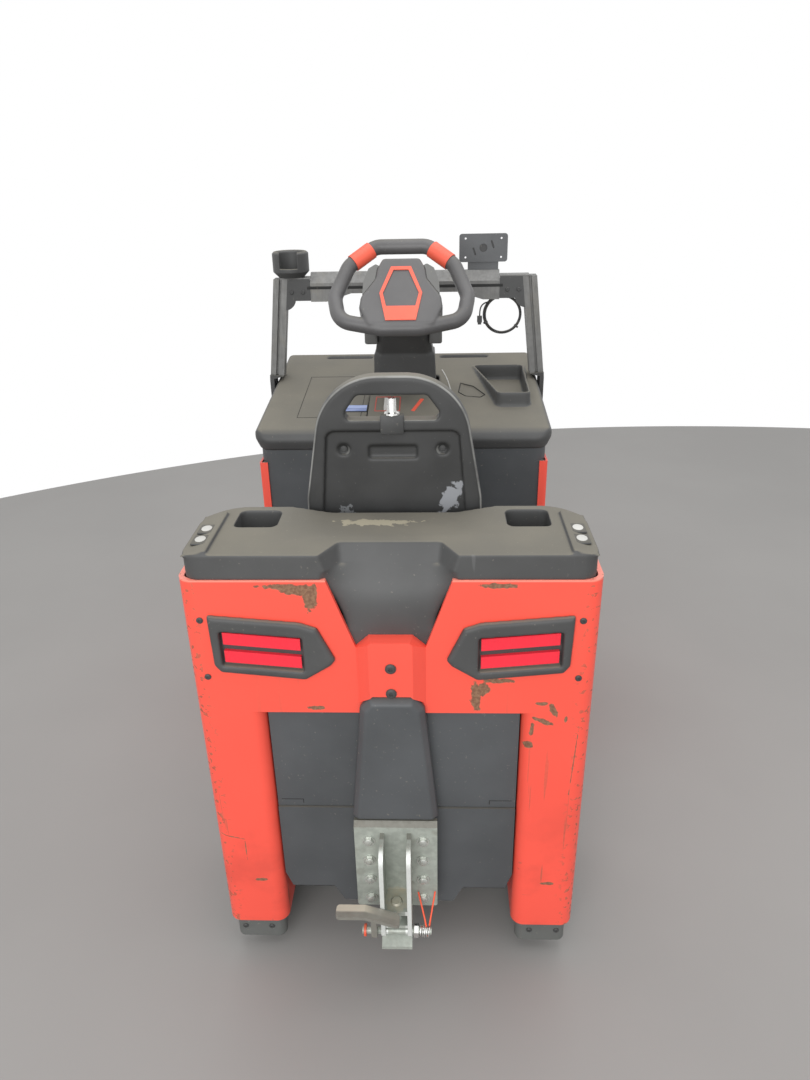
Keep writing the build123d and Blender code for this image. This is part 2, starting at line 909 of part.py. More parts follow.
# Foot lever: shaft under the jaw, arm and a pedal bent down towards the pin
with BuildPart() as coupling_lever:
    with BuildSketch(side_view(-shaft_half)):
        with Locations((shaft_from_rear, shaft_z)):
            Circle(shaft_radius)
    extrude(amount=2 * shaft_half)
    pedal_front = -cheek_reach - pedal_gap
    pedal_drop = (pedal_top - pedal_tip_top) / (pedal_bend + pedal_right)
    arm_x = -cheek_inner - cheek_thick - arm_gap - arm_half
    arm_top = pedal_top - pedal_thick / 2 - pedal_drop * (pedal_bend + arm_x)
    with BuildSketch(side_view(arm_x - arm_half)):
        Polygon(
            (shaft_from_rear + shaft_radius, shaft_z),
            (shaft_from_rear, shaft_z - shaft_radius),
            (pedal_front - arm_deep, shaft_z + arm_deep),
            (pedal_front - arm_deep, arm_top),
            (pedal_front, arm_top),
            (pedal_front, shaft_z + 2 * arm_deep),
            (shaft_from_rear, shaft_z + shaft_radius),
            align=None,
        )
    extrude(amount=2 * arm_half)
    with BuildSketch(rear_view(pedal_front)) as pedal_profile:
        Polygon(
            (-pedal_left, pedal_top),
            (-pedal_left, pedal_top - pedal_thick),
            (-pedal_bend, pedal_top - pedal_thick),
            (pedal_right, pedal_tip_top - pedal_thick),
            (pedal_right, pedal_tip_top),
            (-pedal_bend, pedal_top),
            align=None,
        )
    extrude(amount=coupling_reach + pedal_front)
    pedal_corners = coupling_lever.edges().filter_by(Axis.Z).group_by(Axis.X)
    fillet(pedal_corners[0] + pedal_corners[-1], pedal_corner)
coupling_lever.part.label = "coupling_lever"
export_step(coupling_lever.part, "parts/coupling_lever.step")

# Black cover above the coupling, over the edge of the rear plate
with BuildPart() as coupling_cover:
    with BuildSketch(rear_view(-fit)):
        Polygon(
            (-coupling_cover_half, coupling_cover_low),
            (coupling_cover_half, coupling_cover_low),
            (notch_low_half - coupling_cover_gap, boss_foot - coupling_cover_gap),
            (boss_low_half - coupling_cover_gap, boss_low - boss_corner - coupling_cover_gap),
            (-boss_low_half + coupling_cover_gap, boss_low - boss_corner - coupling_cover_gap),
            (-notch_low_half + coupling_cover_gap, boss_foot - coupling_cover_gap),
            align=None,
        )
    extrude(amount=coupling_cover_proud)
    outer_edges = coupling_cover.faces().sort_by(Axis.Y)[0].edges().sort_by(Axis.Z)[1:]
    chamfer(outer_edges, coupling_cover_edge)
    with BuildSketch(rear_view(-fit)):
        Polygon(
            (-coupling_cover_half + coupling_cover_gap, coupling_cover_low),
            (coupling_cover_half - coupling_cover_gap, coupling_cover_low),
            (notch_low_half, opening_top - coupling_cover_gap),
            (-notch_low_half, opening_top - coupling_cover_gap),
            align=None,
        )
    extrude(amount=-(panel_inset - fit))
coupling_cover.part.label = "coupling_cover"
export_step(coupling_cover.part, "parts/coupling_cover.step")

# Inner panel towards the operator, stepping forwards over the rear wheels
floor_top = rail_top + floor_plate
with BuildPart() as rear_inner_panel:
    with BuildSketch(side_view(-half_width + plate + fit)):
        panel_line = [
            (side_top_depth + panel_lead, cover_low + panel_lap),
            (side_waist_depth, side_waist_z),
            (side_foot_depth, side_fender_z),
            (side_foot_depth, floor_top),
        ]
        bent_sheet(panel_line, bend_radius, inner_panel, Side.RIGHT)
    extrude(amount=2 * (half_width - plate - fit))
rear_inner_panel.part.label = "rear_inner_panel"
export_step(rear_inner_panel.part, "parts/rear_inner_panel.step")

# Rear axle beam with stub axles
beam_front = rear_axle_from_rear + axle_beam_half_depth
with BuildPart() as rear_axle:
    with BuildSketch(side_view(-opening_half + beam_inset)):
        with Locations(((bulkhead_front + beam_front) / 2, (rail_low + axle_beam_top) / 2)):
            Rectangle(beam_front - bulkhead_front, axle_beam_top - rail_low)
    extrude(amount=2 * (opening_half - beam_inset))
    with BuildSketch(side_view(-wheel_side - wheel_width / 2 - stub_proud)):
        with Locations((rear_axle_from_rear, wheel_radius)):
            Circle(axle_radius)
    extrude(amount=2 * (wheel_side + stub_proud) + wheel_width)
rear_axle.part.label = "rear_axle"
export_step(rear_axle.part, "parts/rear_axle.step")

# Welded chassis: two rails, cross members, the platform with its sills and the bridge over the drive wheel
platform_rear = side_foot_depth + fit
platform_front = front_wall_from_rear - fit
rail_front = front_end - bumper_thick - shell_sheet - fit
with BuildPart() as chassis_frame:
    with BuildSketch(plan_view(rail_low)):
        for side in (-1, 1):
            with Locations((side * (rail_inner + rail_outer) / 2, (beam_front + rail_front) / 2)):
                Rectangle(rail_outer - rail_inner, rail_front - beam_front)
    extrude(amount=rail_top - rail_low)
    with BuildSketch(plan_view(cross_low)):
        with Locations((0, front_wall_from_rear + cross_lead)):
            Rectangle(2 * (front_half - shell_sheet - fit), cross_depth)
        with Locations((0, rail_front - cross_depth / 2)):
            Rectangle(2 * rail_outer, cross_depth)
    extrude(amount=rail_top - cross_low)
    with BuildSketch(plan_view(rail_top)):
        with Locations((0, (platform_rear + platform_front) / 2)):
            Rectangle(2 * floor_half, platform_front - platform_rear)
    extrude(amount=floor_plate)
    with BuildSketch(plan_view(sill_low)):
        for side in (-1, 1):
            with Locations((side * (floor_half - sill_width / 2), (platform_rear + front_wall_from_rear) / 2)):
                Rectangle(sill_width, front_wall_from_rear - fit - platform_rear)
    extrude(amount=rail_top - sill_low)
    with BuildSketch(rear_view(drive_from_rear + bridge_half_depth)):
        bridge_half = rail_inner + bridge_foot
        Polygon(
            (-bridge_half, rail_top),
            (-bridge_half + bridge_plate, rail_top),
            (-bridge_half + bridge_plate, bridge_top - bridge_plate),
            (bridge_half - bridge_plate, bridge_top - bridge_plate),
            (bridge_half - bridge_plate, rail_top),
            (bridge_half, rail_top),
            (bridge_half, bridge_top),
            (-bridge_half, bridge_top),
            align=None,
        )
    extrude(amount=2 * bridge_half_depth)
    with BuildSketch(plan_view(bridge_top)):
        with Locations((0, drive_from_rear)):
            Circle(kingpin_radius + bearing_gap)
    extrude(amount=-bridge_plate, mode=Mode.SUBTRACT)
chassis_frame.part.label = "chassis_frame"
export_step(chassis_frame.part, "parts/chassis_frame.step")

with BuildPart() as platform_mat:
    with BuildSketch(plan_view(floor_top)) as mat_plan:
        with Locations((0, (platform_rear + front_wall_from_rear) / 2)):
            Rectangle(2 * (floor_half - mat_margin), front_wall_from_rear - platform_rear - 2 * mat_margin)
        fillet(mat_plan.vertices(), mat_corner)
    extrude(amount=mat_thickness)
    chamfer(platform_mat.faces().sort_by(Axis.Z)[-1].edges(), mat_edge)
platform_mat.part.label = "platform_mat"
export_step(platform_mat.part, "parts/platform_mat.step")

panel_top_depth = side_top_depth + panel_lead
panel_top_z = cover_low + panel_lap
panel_slope = (side_waist_depth - panel_top_depth) / (panel_top_z - side_waist_z)


def panel_front(z):
    """Distance from the rear to the inner panel's front face, on its upper run."""
    return side_waist_depth - panel_slope * (z - side_waist_z)


# Backrest: moulded shell on the inner panel, with a hand slot and a recess in its back
backrest_rear = max(panel_front(shell_low), panel_top_depth) + fit
backrest_front = backrest_rear + shell_thick
with BuildPart() as backrest_shell:
    with BuildSketch(rear_view(backrest_front)) as shell_outline:
        Polygon(
            (-shell_low_half, shell_low),
            (shell_low_half, shell_low),
            (shell_waist_half, shell_waist_z),
            (shell_top_half, shell_top),
            (-shell_top_half, shell_top),
            (-shell_waist_half, shell_waist_z),
            align=None,
        )
        fillet(shell_outline.vertices().group_by(Axis.Y)[-1], shell_round)
    extrude(amount=shell_thick)
    fillet(backrest_shell.faces().sort_by(Axis.Y)[0].edges(), shell_edge)
    with BuildSketch(rear_view(backrest_rear)) as hand_slot:
        Polygon(
            (-slot_low_half, slot_low),
            (slot_low_half, slot_low),
            (slot_high_half, slot_high),
            (-slot_high_half, slot_high),
            align=None,
        )
        fillet(hand_slot.vertices(), slot_corner)
    extrude(amount=-shell_thick, mode=Mode.SUBTRACT)
    with BuildSketch(rear_view(backrest_rear)) as back_recess:
        Polygon(
            (-recess_low_half, recess_low),
            (recess_low_half, recess_low),
            (recess_high_half, recess_high),
            (-recess_high_half, recess_high),
            align=None,
        )
        fillet(back_recess.vertices(), recess_corner)
    extrude(amount=-recess_deep, mode=Mode.SUBTRACT)
    # Finger hold and screw wells in the recess
    with BuildSketch(rear_view(backrest_rear + recess_deep)):
        with Locations((0, recess_high - hold_drop)):
            RectangleRounded(hold_width, hold_height, hold_corner)
        well_x = recess_high_half - well_inset
        with Locations((-well_x, recess_high - well_drop), (well_x, recess_high - well_drop)):
            Circle(well_radius)
    extrude(amount=-well_deep, mode=Mode.SUBTRACT)
backrest_shell.part.label = "backrest_shell"
export_step(backrest_shell.part, "parts/backrest_shell.step")

with BuildPart() as backrest_pad:
    with BuildSketch(rear_view(backrest_front + fit)) as back_pad_outline:
        with Locations((0, (back_pad_low + back_pad_top) / 2)):
            Rectangle(2 * pad_half, back_pad_top - back_pad_low)
        fillet(back_pad_outline.vertices(), back_pad_corner)
    extrude(amount=-back_pad_thick)
backrest_pad.part.label = "backrest_pad"
export_step(backrest_pad.part, "parts/backrest_pad.step")

# Fold-up seat: lugs on the inner panel, pan with hinge eyes, pad
seat_back = max(panel_front(seat_low), panel_front(seat_top)) + seat_stand_off
seat_pan_back = seat_back + seat_pad_thick
seat_pan_front = seat_pan_back + seat_pan_thick
hinge_from_rear = seat_pan_front + hinge_lead
with BuildPart() as seat_lugs:
    for side in (-1, 1):
        with BuildSketch(side_view(side * hinge_lug_x - hinge_lug_width / 2)) as lug:
            Polygon(
                (panel_front(seat_hinge_z - lug_low), seat_hinge_z - lug_low),
                (hinge_from_rear, seat_hinge_z - hinge_eye_radius),
                (hinge_from_rear, seat_hinge_z + hinge_eye_radius),
                (panel_front(seat_hinge_z - lug_high), seat_hinge_z - lug_high),
                align=None,
            )
            with Locations((hinge_from_rear, seat_hinge_z)):
                Circle(hinge_eye_radius)
        extrude(amount=hinge_lug_width)
    with BuildSketch(side_view(-hinge_lug_x - hinge_lug_width * 1.5 - eye_gap)):
        with Locations((hinge_from_rear, seat_hinge_z)):
            Circle(hinge_pin_radius)
    pin = extrude(amount=hinge_lug_width * 3 + 2 * eye_gap)
    mirror(pin, about=Plane.YZ)
seat_lugs.part.label = "seat_lugs"
export_step(seat_lugs.part, "parts/seat_lugs.step")

with BuildPart() as seat_pan:
    with BuildSketch(rear_view(seat_pan_front)) as pan_outline:
        with Locations((0, (seat_low + seat_top) / 2 + seat_pan_rise)):
            Rectangle(2 * (pad_half + seat_pan_margin), seat_top - seat_low)
        fillet(pan_outline.vertices().group_by(Axis.Y)[-1], seat_pan_corner)
        fillet(pan_outline.vertices().group_by(Axis.Y)[0], seat_pan_foot_corner)
    extrude(amount=seat_pan_thick)
    # Hinge eyes outside the lugs
    for side in (-1, 1):
        eye_x = side * (hinge_lug_x + hinge_lug_width + eye_gap) - hinge_lug_width / 2
        with BuildSketch(side_view(eye_x)):
            with Locations((hinge_from_rear, seat_hinge_z)):
                Circle(hinge_eye_radius - eye_trim)
            Polygon(
                (hinge_from_rear - hinge_eye_radius + eye_trim, seat_hinge_z),
                (hinge_from_rear + hinge_eye_radius - eye_trim, seat_hinge_z),
                (seat_pan_front, seat_low + eye_lap),
                (seat_pan_back, seat_low + eye_lap),
                align=None,
            )
            with Locations((hinge_from_rear, seat_hinge_z)):
                Circle(hinge_pin_radius + bearing_gap, mode=Mode.SUBTRACT)
        extrude(amount=hinge_lug_width)
seat_pan.part.label = "seat_pan"
export_step(seat_pan.part, "parts/seat_pan.step")

with BuildPart() as seat_pad:
    with BuildSketch(rear_view(seat_pan_back - fit)) as seat_pad_outline:
        with Locations((0, (seat_low + seat_top) / 2 + seat_pad_rise)):
            Rectangle(2 * pad_half, seat_top - seat_low - 2 * seat_pad_rise)
        fillet(seat_pad_outline.vertices().group_by(Axis.Y)[-1], seat_pad_corner)
        fillet(seat_pad_outline.vertices().group_by(Axis.Y)[0], seat_pad_foot_corner)
    extrude(amount=seat_pad_thick - fit)
seat_pad.part.label = "seat_pad"
export_step(seat_pad.part, "parts/seat_pad.step")

# Front shell: bent sheet round the sides and front, with lamp windows
shell_front = front_end - bumper_thick
with BuildPart() as front_shell:
    with BuildSketch(plan_view(shell_low_z)):
        shell_line = [
            (-front_half + return_width, front_wall_from_rear),
            (-front_half, front_wall_from_rear),
            (-front_half, shell_front),
            (front_half, shell_front),
            (front_half, front_wall_from_rear),
            (front_half - return_width, front_wall_from_rear),
        ]
        shell_bends = (return_bend, front_corner, front_corner, return_bend)
        bent_sheet(shell_line, shell_bends, shell_sheet, Side.RIGHT)
    extrude(amount=shell_top_z - shell_low_z)
    with BuildSketch(rear_view(shell_front + over)) as lamp_windows:
        for side in (-1, 1):
            with Locations((side * headlamp_x, headlamp_z)):
                RectangleRounded(headlamp_width, headlamp_height, headlamp_corner)
    extrude(amount=shell_sheet + 2 * over, mode=Mode.SUBTRACT)
front_shell.part.label = "front_shell"
export_step(front_shell.part, "parts/front_shell.step")

lamp_places = [(-headlamp_x, headlamp_z), (headlamp_x, headlamp_z)]
lamp_inner = (headlamp_width - 2 * headlamp_rim, headlamp_height - 2 * headlamp_rim)
lamp_outer = (headlamp_width + 2 * headlamp_rim, headlamp_height + 2 * headlamp_rim)
lamp_body = (headlamp_width - 2 * fit, headlamp_height - 2 * fit, headlamp_corner - fit)
with BuildPart() as headlamp_bezels:
    with BuildSketch(rear_view(shell_front + headlamp_rim)):
        with Locations(*lamp_places):
            RectangleRounded(*lamp_outer, headlamp_rim_corner)
            RectangleRounded(*lamp_inner, headlamp_lens_corner, mode=Mode.SUBTRACT)
    extrude(amount=headlamp_rim)
    with BuildSketch(rear_view(shell_front)):
        with Locations(*lamp_places):
            RectangleRounded(*lamp_body)
            RectangleRounded(*lamp_inner, headlamp_lens_corner, mode=Mode.SUBTRACT)
    extrude(amount=headlamp_deep)
    with BuildSketch(rear_view(shell_front - headlamp_deep)):
        with Locations(*lamp_places):
            RectangleRounded(*lamp_body)
    extrude(amount=headlamp_back)
headlamp_bezels.part.label = "headlamp_bezels"
export_step(headlamp_bezels.part, "parts/headlamp_bezels.step")

with BuildPart() as headlamp_lenses:
    with BuildSketch(rear_view(shell_front + headlamp_lens_set)):
        with Locations(*lamp_places):
            RectangleRounded(lamp_inner[0] - 2 * fit, lamp_inner[1] - 2 * fit, headlamp_lens_corner - fit)
    extrude(amount=headlamp_rim)
headlamp_lenses.part.label = "headlamp_lenses"
export_step(headlamp_lenses.part, "parts/headlamp_lenses.step")

# Bumper band round the front
with BuildPart() as front_bumper:
    with BuildSketch(plan_view(bumper_low)):
        bumper_half = front_half + fit
        bumper_rear = front_end - bumper_wrap
        bumper_line = [
            (-bumper_half, bumper_rear),
            (-bumper_half, shell_front + fit),
            (bumper_half, shell_front + fit),
            (bumper_half, bumper_rear),
        ]
        bent_sheet(bumper_line, front_corner + fit, bumper_thick - fit, Side.LEFT)
    extrude(amount=bumper_top - bumper_low)
    chamfer(front_bumper.faces().sort_by(Axis.Z)[-1].edges().sort_by(Axis.Y)[-1], bumper_edge)
front_bumper.part.label = "front_bumper"
export_step(front_bumper.part, "parts/front_bumper.step")

# Front wall towards the operator, with the collar under the hood
wall_back = front_wall_from_rear + shell_sheet + fit
with BuildPart() as front_wall:
    with BuildSketch(rear_view(wall_back + wall_thick)):
        wall_half = front_half - shell_sheet - wall_gap
        Polygon(
            (-wall_half, floor_top),
            (wall_half, floor_top),
            (wall_half, shell_top_z),
            (-wall_half, shell_top_z),
            align=None,
        )
    extrude(amount=wall_thick)
    # Collar on the shell's upper edge, under the hood
    with BuildSketch(plan_view(shell_top_z)) as collar_plan:
        collar_rear = front_wall_from_rear + collar_inset
        collar_front = shell_front - collar_inset
        with Locations((0, (collar_rear + collar_front) / 2)):
            Rectangle(2 * (front_half - collar_inset), collar_front - collar_rear)
        fillet(collar_plan.vertices().group_by(Axis.Y)[-1], front_corner - collar_inset)
        fillet(collar_plan.vertices().group_by(Axis.Y)[0], collar_corner)
        with Locations((0, (collar_rear + collar_front) / 2)):
            Rectangle(
                2 * (front_half - collar_wide),
                collar_front - collar_rear - 2 * collar_ends,
                mode=Mode.SUBTRACT,
            )
    extrude(amount=hood_seam - shell_top_z)
front_wall.part.label = "front_wall"
export_step(front_wall.part, "parts/front_wall.step")

# Hood: sloping moulded cap with a tray on the right and an opening for dash and column
hood_slope = (hood_front_z - hood_rear_z) / (hood_front_top - hood_rear - hood_lip)


def hood_surface(distance):
    """Height of the hood's top at a distance from the rear."""
    return hood_rear_z + hood_slope * (distance - hood_rear - hood_lip)


hood_profile = [
    (hood_rear, hood_seam),
    (hood_rear, hood_rear_z - hood_break),
    (hood_rear + hood_lip, hood_rear_z + over),
    (hood_front_top, hood_front_z + over),
    (hood_front_top + hood_nose, hood_front_z - hood_break),
    (hood_front_low, hood_seam + hood_skirt),
    (hood_front_low, hood_seam),
]
tray_outline = [
    (tray_rear_inner, tray_rear),
    (tray_rear_outer, tray_rear),
    (tray_front_outer, tray_front),
    (tray_front_inner, tray_front),
]
hood_middle = (hood_rear + hood_front_low) / 2
skirt_top = hood_seam + hood_skirt
with BuildPart() as hood:
    # Cap with round shoulders, rising to the front
    for section_from_rear in (hood_rear, hood_front_low):
        with BuildSketch(rear_view(section_from_rear)) as shoulder:
            Polygon(
                (-hood_half, skirt_top),
                (hood_half, skirt_top),
                (hood_half, hood_surface(section_from_rear)),
                (-hood_half, hood_surface(section_from_rear)),
                align=None,
            )
            fillet(shoulder.vertices().group_by(Axis.Y)[-1], hood_round)
    loft(ruled=True)
    with BuildSketch(plan_view(hood_seam)) as upright_plan:
        with Locations((0, hood_middle)):
            Rectangle(2 * hood_half, hood_front_low - hood_rear)
        fillet(upright_plan.vertices().group_by(Axis.Y)[-1], front_corner)
        fillet(upright_plan.vertices().group_by(Axis.Y)[0], hood_rear_corner)
    extrude(amount=hood_front_z, mode=Mode.INTERSECT)
    with BuildSketch(side_view(-hood_half - over)) as hood_side:
        Polygon(*hood_profile, align=None)
        fillet(hood_side.vertices().sort_by(Axis.Y)[2:], hood_roll)
    extrude(amount=2 * (hood_half + over), mode=Mode.INTERSECT)
    # Skirt that narrows down to the seam
    with BuildSketch(plan_view(hood_seam)) as seam_plan:
        with Locations((0, hood_middle)):
            Rectangle(2 * (hood_half - hood_tuck), hood_front_low - hood_rear - 2 * hood_tuck)
        fillet(seam_plan.vertices().group_by(Axis.Y)[-1], front_corner - hood_tuck)
        fillet(seam_plan.vertices().group_by(Axis.Y)[0], hood_rear_corner - hood_tuck)
    with BuildSketch(plan_view(skirt_top)) as skirt_plan:
        with Locations((0, hood_middle)):
            Rectangle(2 * hood_half, hood_front_low - hood_rear)
        fillet(skirt_plan.vertices().group_by(Axis.Y)[-1], front_corner)
        fillet(skirt_plan.vertices().group_by(Axis.Y)[0], hood_rear_corner)
    loft(ruled=True)
    # Hollow underside
    with BuildSketch(side_view(-hood_half + hood_rim)):
        Polygon(
            (hood_rear + hood_rim, hood_seam),
            (hood_rear + hood_rim, hood_surface(hood_rear + hood_rim) - hood_wall),
            (hood_front_top - hood_wall, hood_surface(hood_front_top - hood_wall) - hood_wall),
            (hood_front_low - 4 * hood_wall, hood_seam + 2 * hood_wall),
            (hood_front_low - 4 * hood_wall, hood_seam),
            align=None,
        )
    extrude(amount=2 * (hood_half - hood_rim), mode=Mode.SUBTRACT)
    # Tray that stands level on the slope
    with BuildSketch(plan_view(tray_floor - tray_base)) as tray_block:
        Polygon(*tray_outline, align=None)
        fillet(tray_block.vertices(), tray_corner)
    extrude(amount=tray_rim - tray_floor + tray_base)
    with BuildSketch(plan_view(tray_rim)) as tray_pocket:
        Polygon(*tray_outline, align=None)
        offset(amount=-tray_wall, kind=Kind.INTERSECTION)
        fillet(tray_pocket.vertices(), tray_pocket_corner)
    extrude(amount=tray_floor - tray_rim, mode=Mode.SUBTRACT)
    with BuildSketch(plan_view(tray_rim)) as tray_clear:
        Polygon(*tray_outline, align=None)
        offset(amount=-tray_wall, kind=Kind.INTERSECTION)
        fillet(tray_clear.vertices(), tray_pocket_corner)
    extrude(amount=tray_clearance, mode=Mode.SUBTRACT)
    # Opening for the dash panel and the steering column
    with BuildSketch(plan_view(hood_seam)):
        with Locations((0, (dash_rear + column_front) / 2)):
            Rectangle(2 * (dash_half + fit), column_front - dash_rear + 2 * fit)
    extrude(amount=hood_front_z - hood_seam + tray_clearance, mode=Mode.SUBTRACT)
hood.part.label = "hood"
export_step(hood.part, "parts/hood.step")


def column_back(z):
    """Distance from the rear to the column's leaning rear face."""
    lean = (column_lean - column_taper) / (column_waist_z - hood_seam - column_foot_rise)
    return column_rear - lean * (z - hood_seam - column_foot_rise)


# Dash panel between the hood's rear edge and the column
with BuildPart() as dash_panel:
    dash_low = hood_surface(column_rear) - dash_deep
    dash_high = hood_surface(column_rear) + dash_proud
    with BuildSketch(side_view(-dash_half)):
        Polygon(
            (dash_rear, hood_surface(dash_rear) - dash_deep),
            (column_back(dash_low) - fit, dash_low),
            (column_back(dash_high) - fit, dash_high),
            (dash_rear + dash_step, hood_surface(dash_rear + dash_step) - dash_sunk),
            (dash_rear, hood_surface(dash_rear) - dash_sunk),
            align=None,
        )
    extrude(amount=2 * dash_half)
dash_panel.part.label = "dash_panel"
export_step(dash_panel.part, "parts/dash_panel.step")

# Steering column: boxy foot, waist and a narrow leaning neck up to the wheel
tilt = radians(wheel_tilt)
wheel_centre = (0, at(wheel_from_rear), wheel_z)
wheel_normal = (0, -cos(tilt), sin(tilt))
wheel_plane = Plane(origin=wheel_centre, x_dir=(1, 0, 0), z_dir=wheel_normal)
wheel_axis = Axis(wheel_centre, wheel_normal)
neck_plane = wheel_plane.offset(-neck_end)
with BuildPart() as steering_column:
    with BuildSketch(plan_view(hood_seam + column_foot_rise)) as column_foot:
        with Locations((0, (column_rear + column_front) / 2)):
            Rectangle(2 * column_half, column_depth)
        chamfer(column_foot.vertices(), column_edge)
    with BuildSketch(plan_view(column_waist_z)) as column_waist:
        with Locations((0, (column_rear + column_front) / 2 - column_lean)):
            Rectangle(2 * column_waist_half, column_depth - 2 * column_taper)
        chamfer(column_waist.vertices(), column_edge)
    loft(ruled=True)
    with BuildSketch(plan_view(column_waist_z)) as neck_foot:
        with Locations((0, (column_rear + column_front) / 2 - neck_lean)):
            Rectangle(2 * (column_waist_half - neck_side_step), column_depth - neck_depth_step)
        chamfer(neck_foot.vertices(), column_edge)
    with BuildSketch(neck_plane) as neck_top:
        with Locations((0, -neck_top_drop)):
            Rectangle(2 * neck_half, neck_top_depth)
        chamfer(neck_top.vertices(), column_edge)
    loft(ruled=True)
    with BuildSketch(neck_plane):
        Circle(column_shaft)
    extrude(amount=neck_end - hub_thick / 2 - fit)
steering_column.part.label = "steering_column"
export_step(steering_column.part, "parts/steering_column.step")

# Steering wheel: rim with a straight top bar and a wide foot that runs into the hub
rim_line_half = wheel_half - rim_tube
rim_line_high = wheel_half_high - rim_tube
rim_points = [
    (-0.40 * rim_line_half, rim_line_high),
    (0.40 * rim_line_half, rim_line_high),
    (0.80 * rim_line_half, 0.52 * rim_line_high),
    (rim_line_half, -0.25 * rim_line_high),
    (0.93 * rim_line_half, -0.80 * rim_line_high),
    (0.28 * rim_line_half, -rim_line_high),
    (-0.28 * rim_line_half, -rim_line_high),
    (-0.93 * rim_line_half, -0.80 * rim_line_high),
    (-rim_line_half, -0.25 * rim_line_high),
    (-0.80 * rim_line_half, 0.52 * rim_line_high),
]
hub_outline = [
    (-0.45 * hub_half, 0.67 * hub_half),
    (0.45 * hub_half, 0.67 * hub_half),
    (0.58 * hub_half, 0.40 * hub_half),
    (0.62 * hub_half, 0.12 * hub_half),
    (0.96 * hub_half, -0.36 * hub_half),
    (hub_half, -0.66 * hub_half),
    (0.79 * hub_half, -rim_line_high),
    (-0.79 * hub_half, -rim_line_high),
    (-hub_half, -0.66 * hub_half),
    (-0.96 * hub_half, -0.36 * hub_half),
    (-0.62 * hub_half, 0.12 * hub_half),
    (-0.58 * hub_half, 0.40 * hub_half),
]
with BuildSketch() as hub_face:
    Polygon(*hub_outline, align=None)
    fillet(hub_face.vertices(), hub_corner)
with BuildPart() as wheel_hub:
    with BuildSketch(wheel_plane.offset(-hub_thick / 2)):
        add(hub_face.sketch)
    extrude(amount=hub_thick)
    fillet(wheel_hub.faces().sort_by(wheel_axis)[-1].edges(), hub_round)
with BuildPart() as steering_wheel:
    with BuildSketch(wheel_plane) as rim_band:
        with BuildLine() as rim_path:
            FilletPolyline(*rim_points, radius=rim_corner, close=True)
        make_face(rim_path.edges())
        offset(amount=rim_tube)
        rim_inside = offset(Wire(rim_path.edges()), amount=-rim_tube, mode=Mode.PRIVATE)
        make_face(rim_inside.edges(), mode=Mode.SUBTRACT)
    extrude(amount=rim_tube, both=True)
    rim_flats = steering_wheel.faces().sort_by(wheel_axis)
    fillet(rim_flats[0].edges() + rim_flats[-1].edges(), rim_tube - rim_flat)
    add(wheel_hub.part)
steering_wheel.part.label = "steering_wheel"
export_step(steering_wheel.part, "parts/steering_wheel.step")

# Coloured trim: sleeves on the rim's upper shoulders and a raised frame on the hub's face
trim_outer = [
    (-0.24 * hub_half, 0.41 * hub_half),
    (0.24 * hub_half, 0.41 * hub_half),
    (0.51 * hub_half, -0.30 * hub_half),
    (0.36 * hub_half, -1.02 * hub_half),
    (-0.36 * hub_half, -1.02 * hub_half),
    (-0.51 * hub_half, -0.30 * hub_half),
]
trim_inner = [
    (-0.18 * hub_half, 0.32 * hub_half),
    (0.18 * hub_half, 0.32 * hub_half),
    (0.43 * hub_half, -0.30 * hub_half),
    (0.35 * hub_half, -0.65 * hub_half),
    (-0.35 * hub_half, -0.65 * hub_half),
    (-0.43 * hub_half, -0.30 * hub_half),
]
shoulder_low = rim_points[2]
shoulder_high = rim_points[1]
shoulder_middle = ((shoulder_low[0] + shoulder_high[0]) / 2, (shoulder_low[1] + shoulder_high[1]) / 2)
with BuildPart() as wheel_trim:
    for side in (-1, 1):
        sleeve_origin = wheel_plane.from_local_coords(Vector(side * shoulder_middle[0], shoulder_middle[1], 0))
        sleeve_axis = Vector(
            side * (shoulder_high[0] - shoulder_low[0]),
            shoulder_high[1] - shoulder_low[1],
            0,
        ).normalized()
        sleeve_tip = wheel_plane.from_local_coords(
            Vector(side * shoulder_middle[0], shoulder_middle[1], 0) + sleeve_axis
        )
        sleeve_plane = Plane(origin=sleeve_origin, z_dir=sleeve_tip - sleeve_origin)
        with BuildSketch(sleeve_plane):
            Circle(rim_tube + fit + grip_wall)
            Circle(rim_tube + fit, mode=Mode.SUBTRACT)
        extrude(amount=grip_length / 2, both=True)
    with BuildSketch(wheel_plane.offset(hub_thick / 2)):
        Polygon(*trim_outer, align=None)
        Polygon(*trim_inner, align=None, mode=Mode.SUBTRACT)
    extrude(amount=trim_proud)
wheel_trim.part.label = "wheel_trim"
export_step(wheel_trim.part, "parts/wheel_trim.step")

# Drive paddles: one each side in the hub's upper corners, just under its face
paddle_outline = [
    (0.40 * hub_half, 0.40 * hub_half),
    (0.62 * hub_half, 0.53 * hub_half),
    (0.79 * hub_half, 0.41 * hub_half),
    (0.91 * hub_half, 0.05 * hub_half),
    (0.93 * hub_half, -0.34 * hub_half),
    (0.40 * hub_half, -0.34 * hub_half),
]
with BuildPart() as drive_paddles:
    with BuildSketch(wheel_plane.offset(hub_thick / 2 - paddle_drop - paddle_thick)) as paddles:
        Polygon(*paddle_outline, align=None)
        fillet(paddles.vertices(), paddle_corner)
        mirror(about=Plane.YZ)
        add(offset(hub_face.sketch, fit, mode=Mode.PRIVATE), mode=Mode.SUBTRACT)
    extrude(amount=paddle_thick)
drive_paddles.part.label = "drive_paddles"
export_step(drive_paddles.part, "parts/drive_paddles.step")

# Battery behind the front wall
battery_rear = wall_back + wall_thick + fit
battery_depth = drive_from_rear - motor_radius - battery_front_gap - battery_rear
with BuildPart() as battery:
    with BuildSketch(plan_view(rail_top)):
        with Locations((0, battery_rear + battery_depth / 2)):
            Rectangle(battery_width, battery_depth)
    extrude(amount=battery_height)
battery.part.label = "battery"
export_step(battery.part, "parts/battery.step")

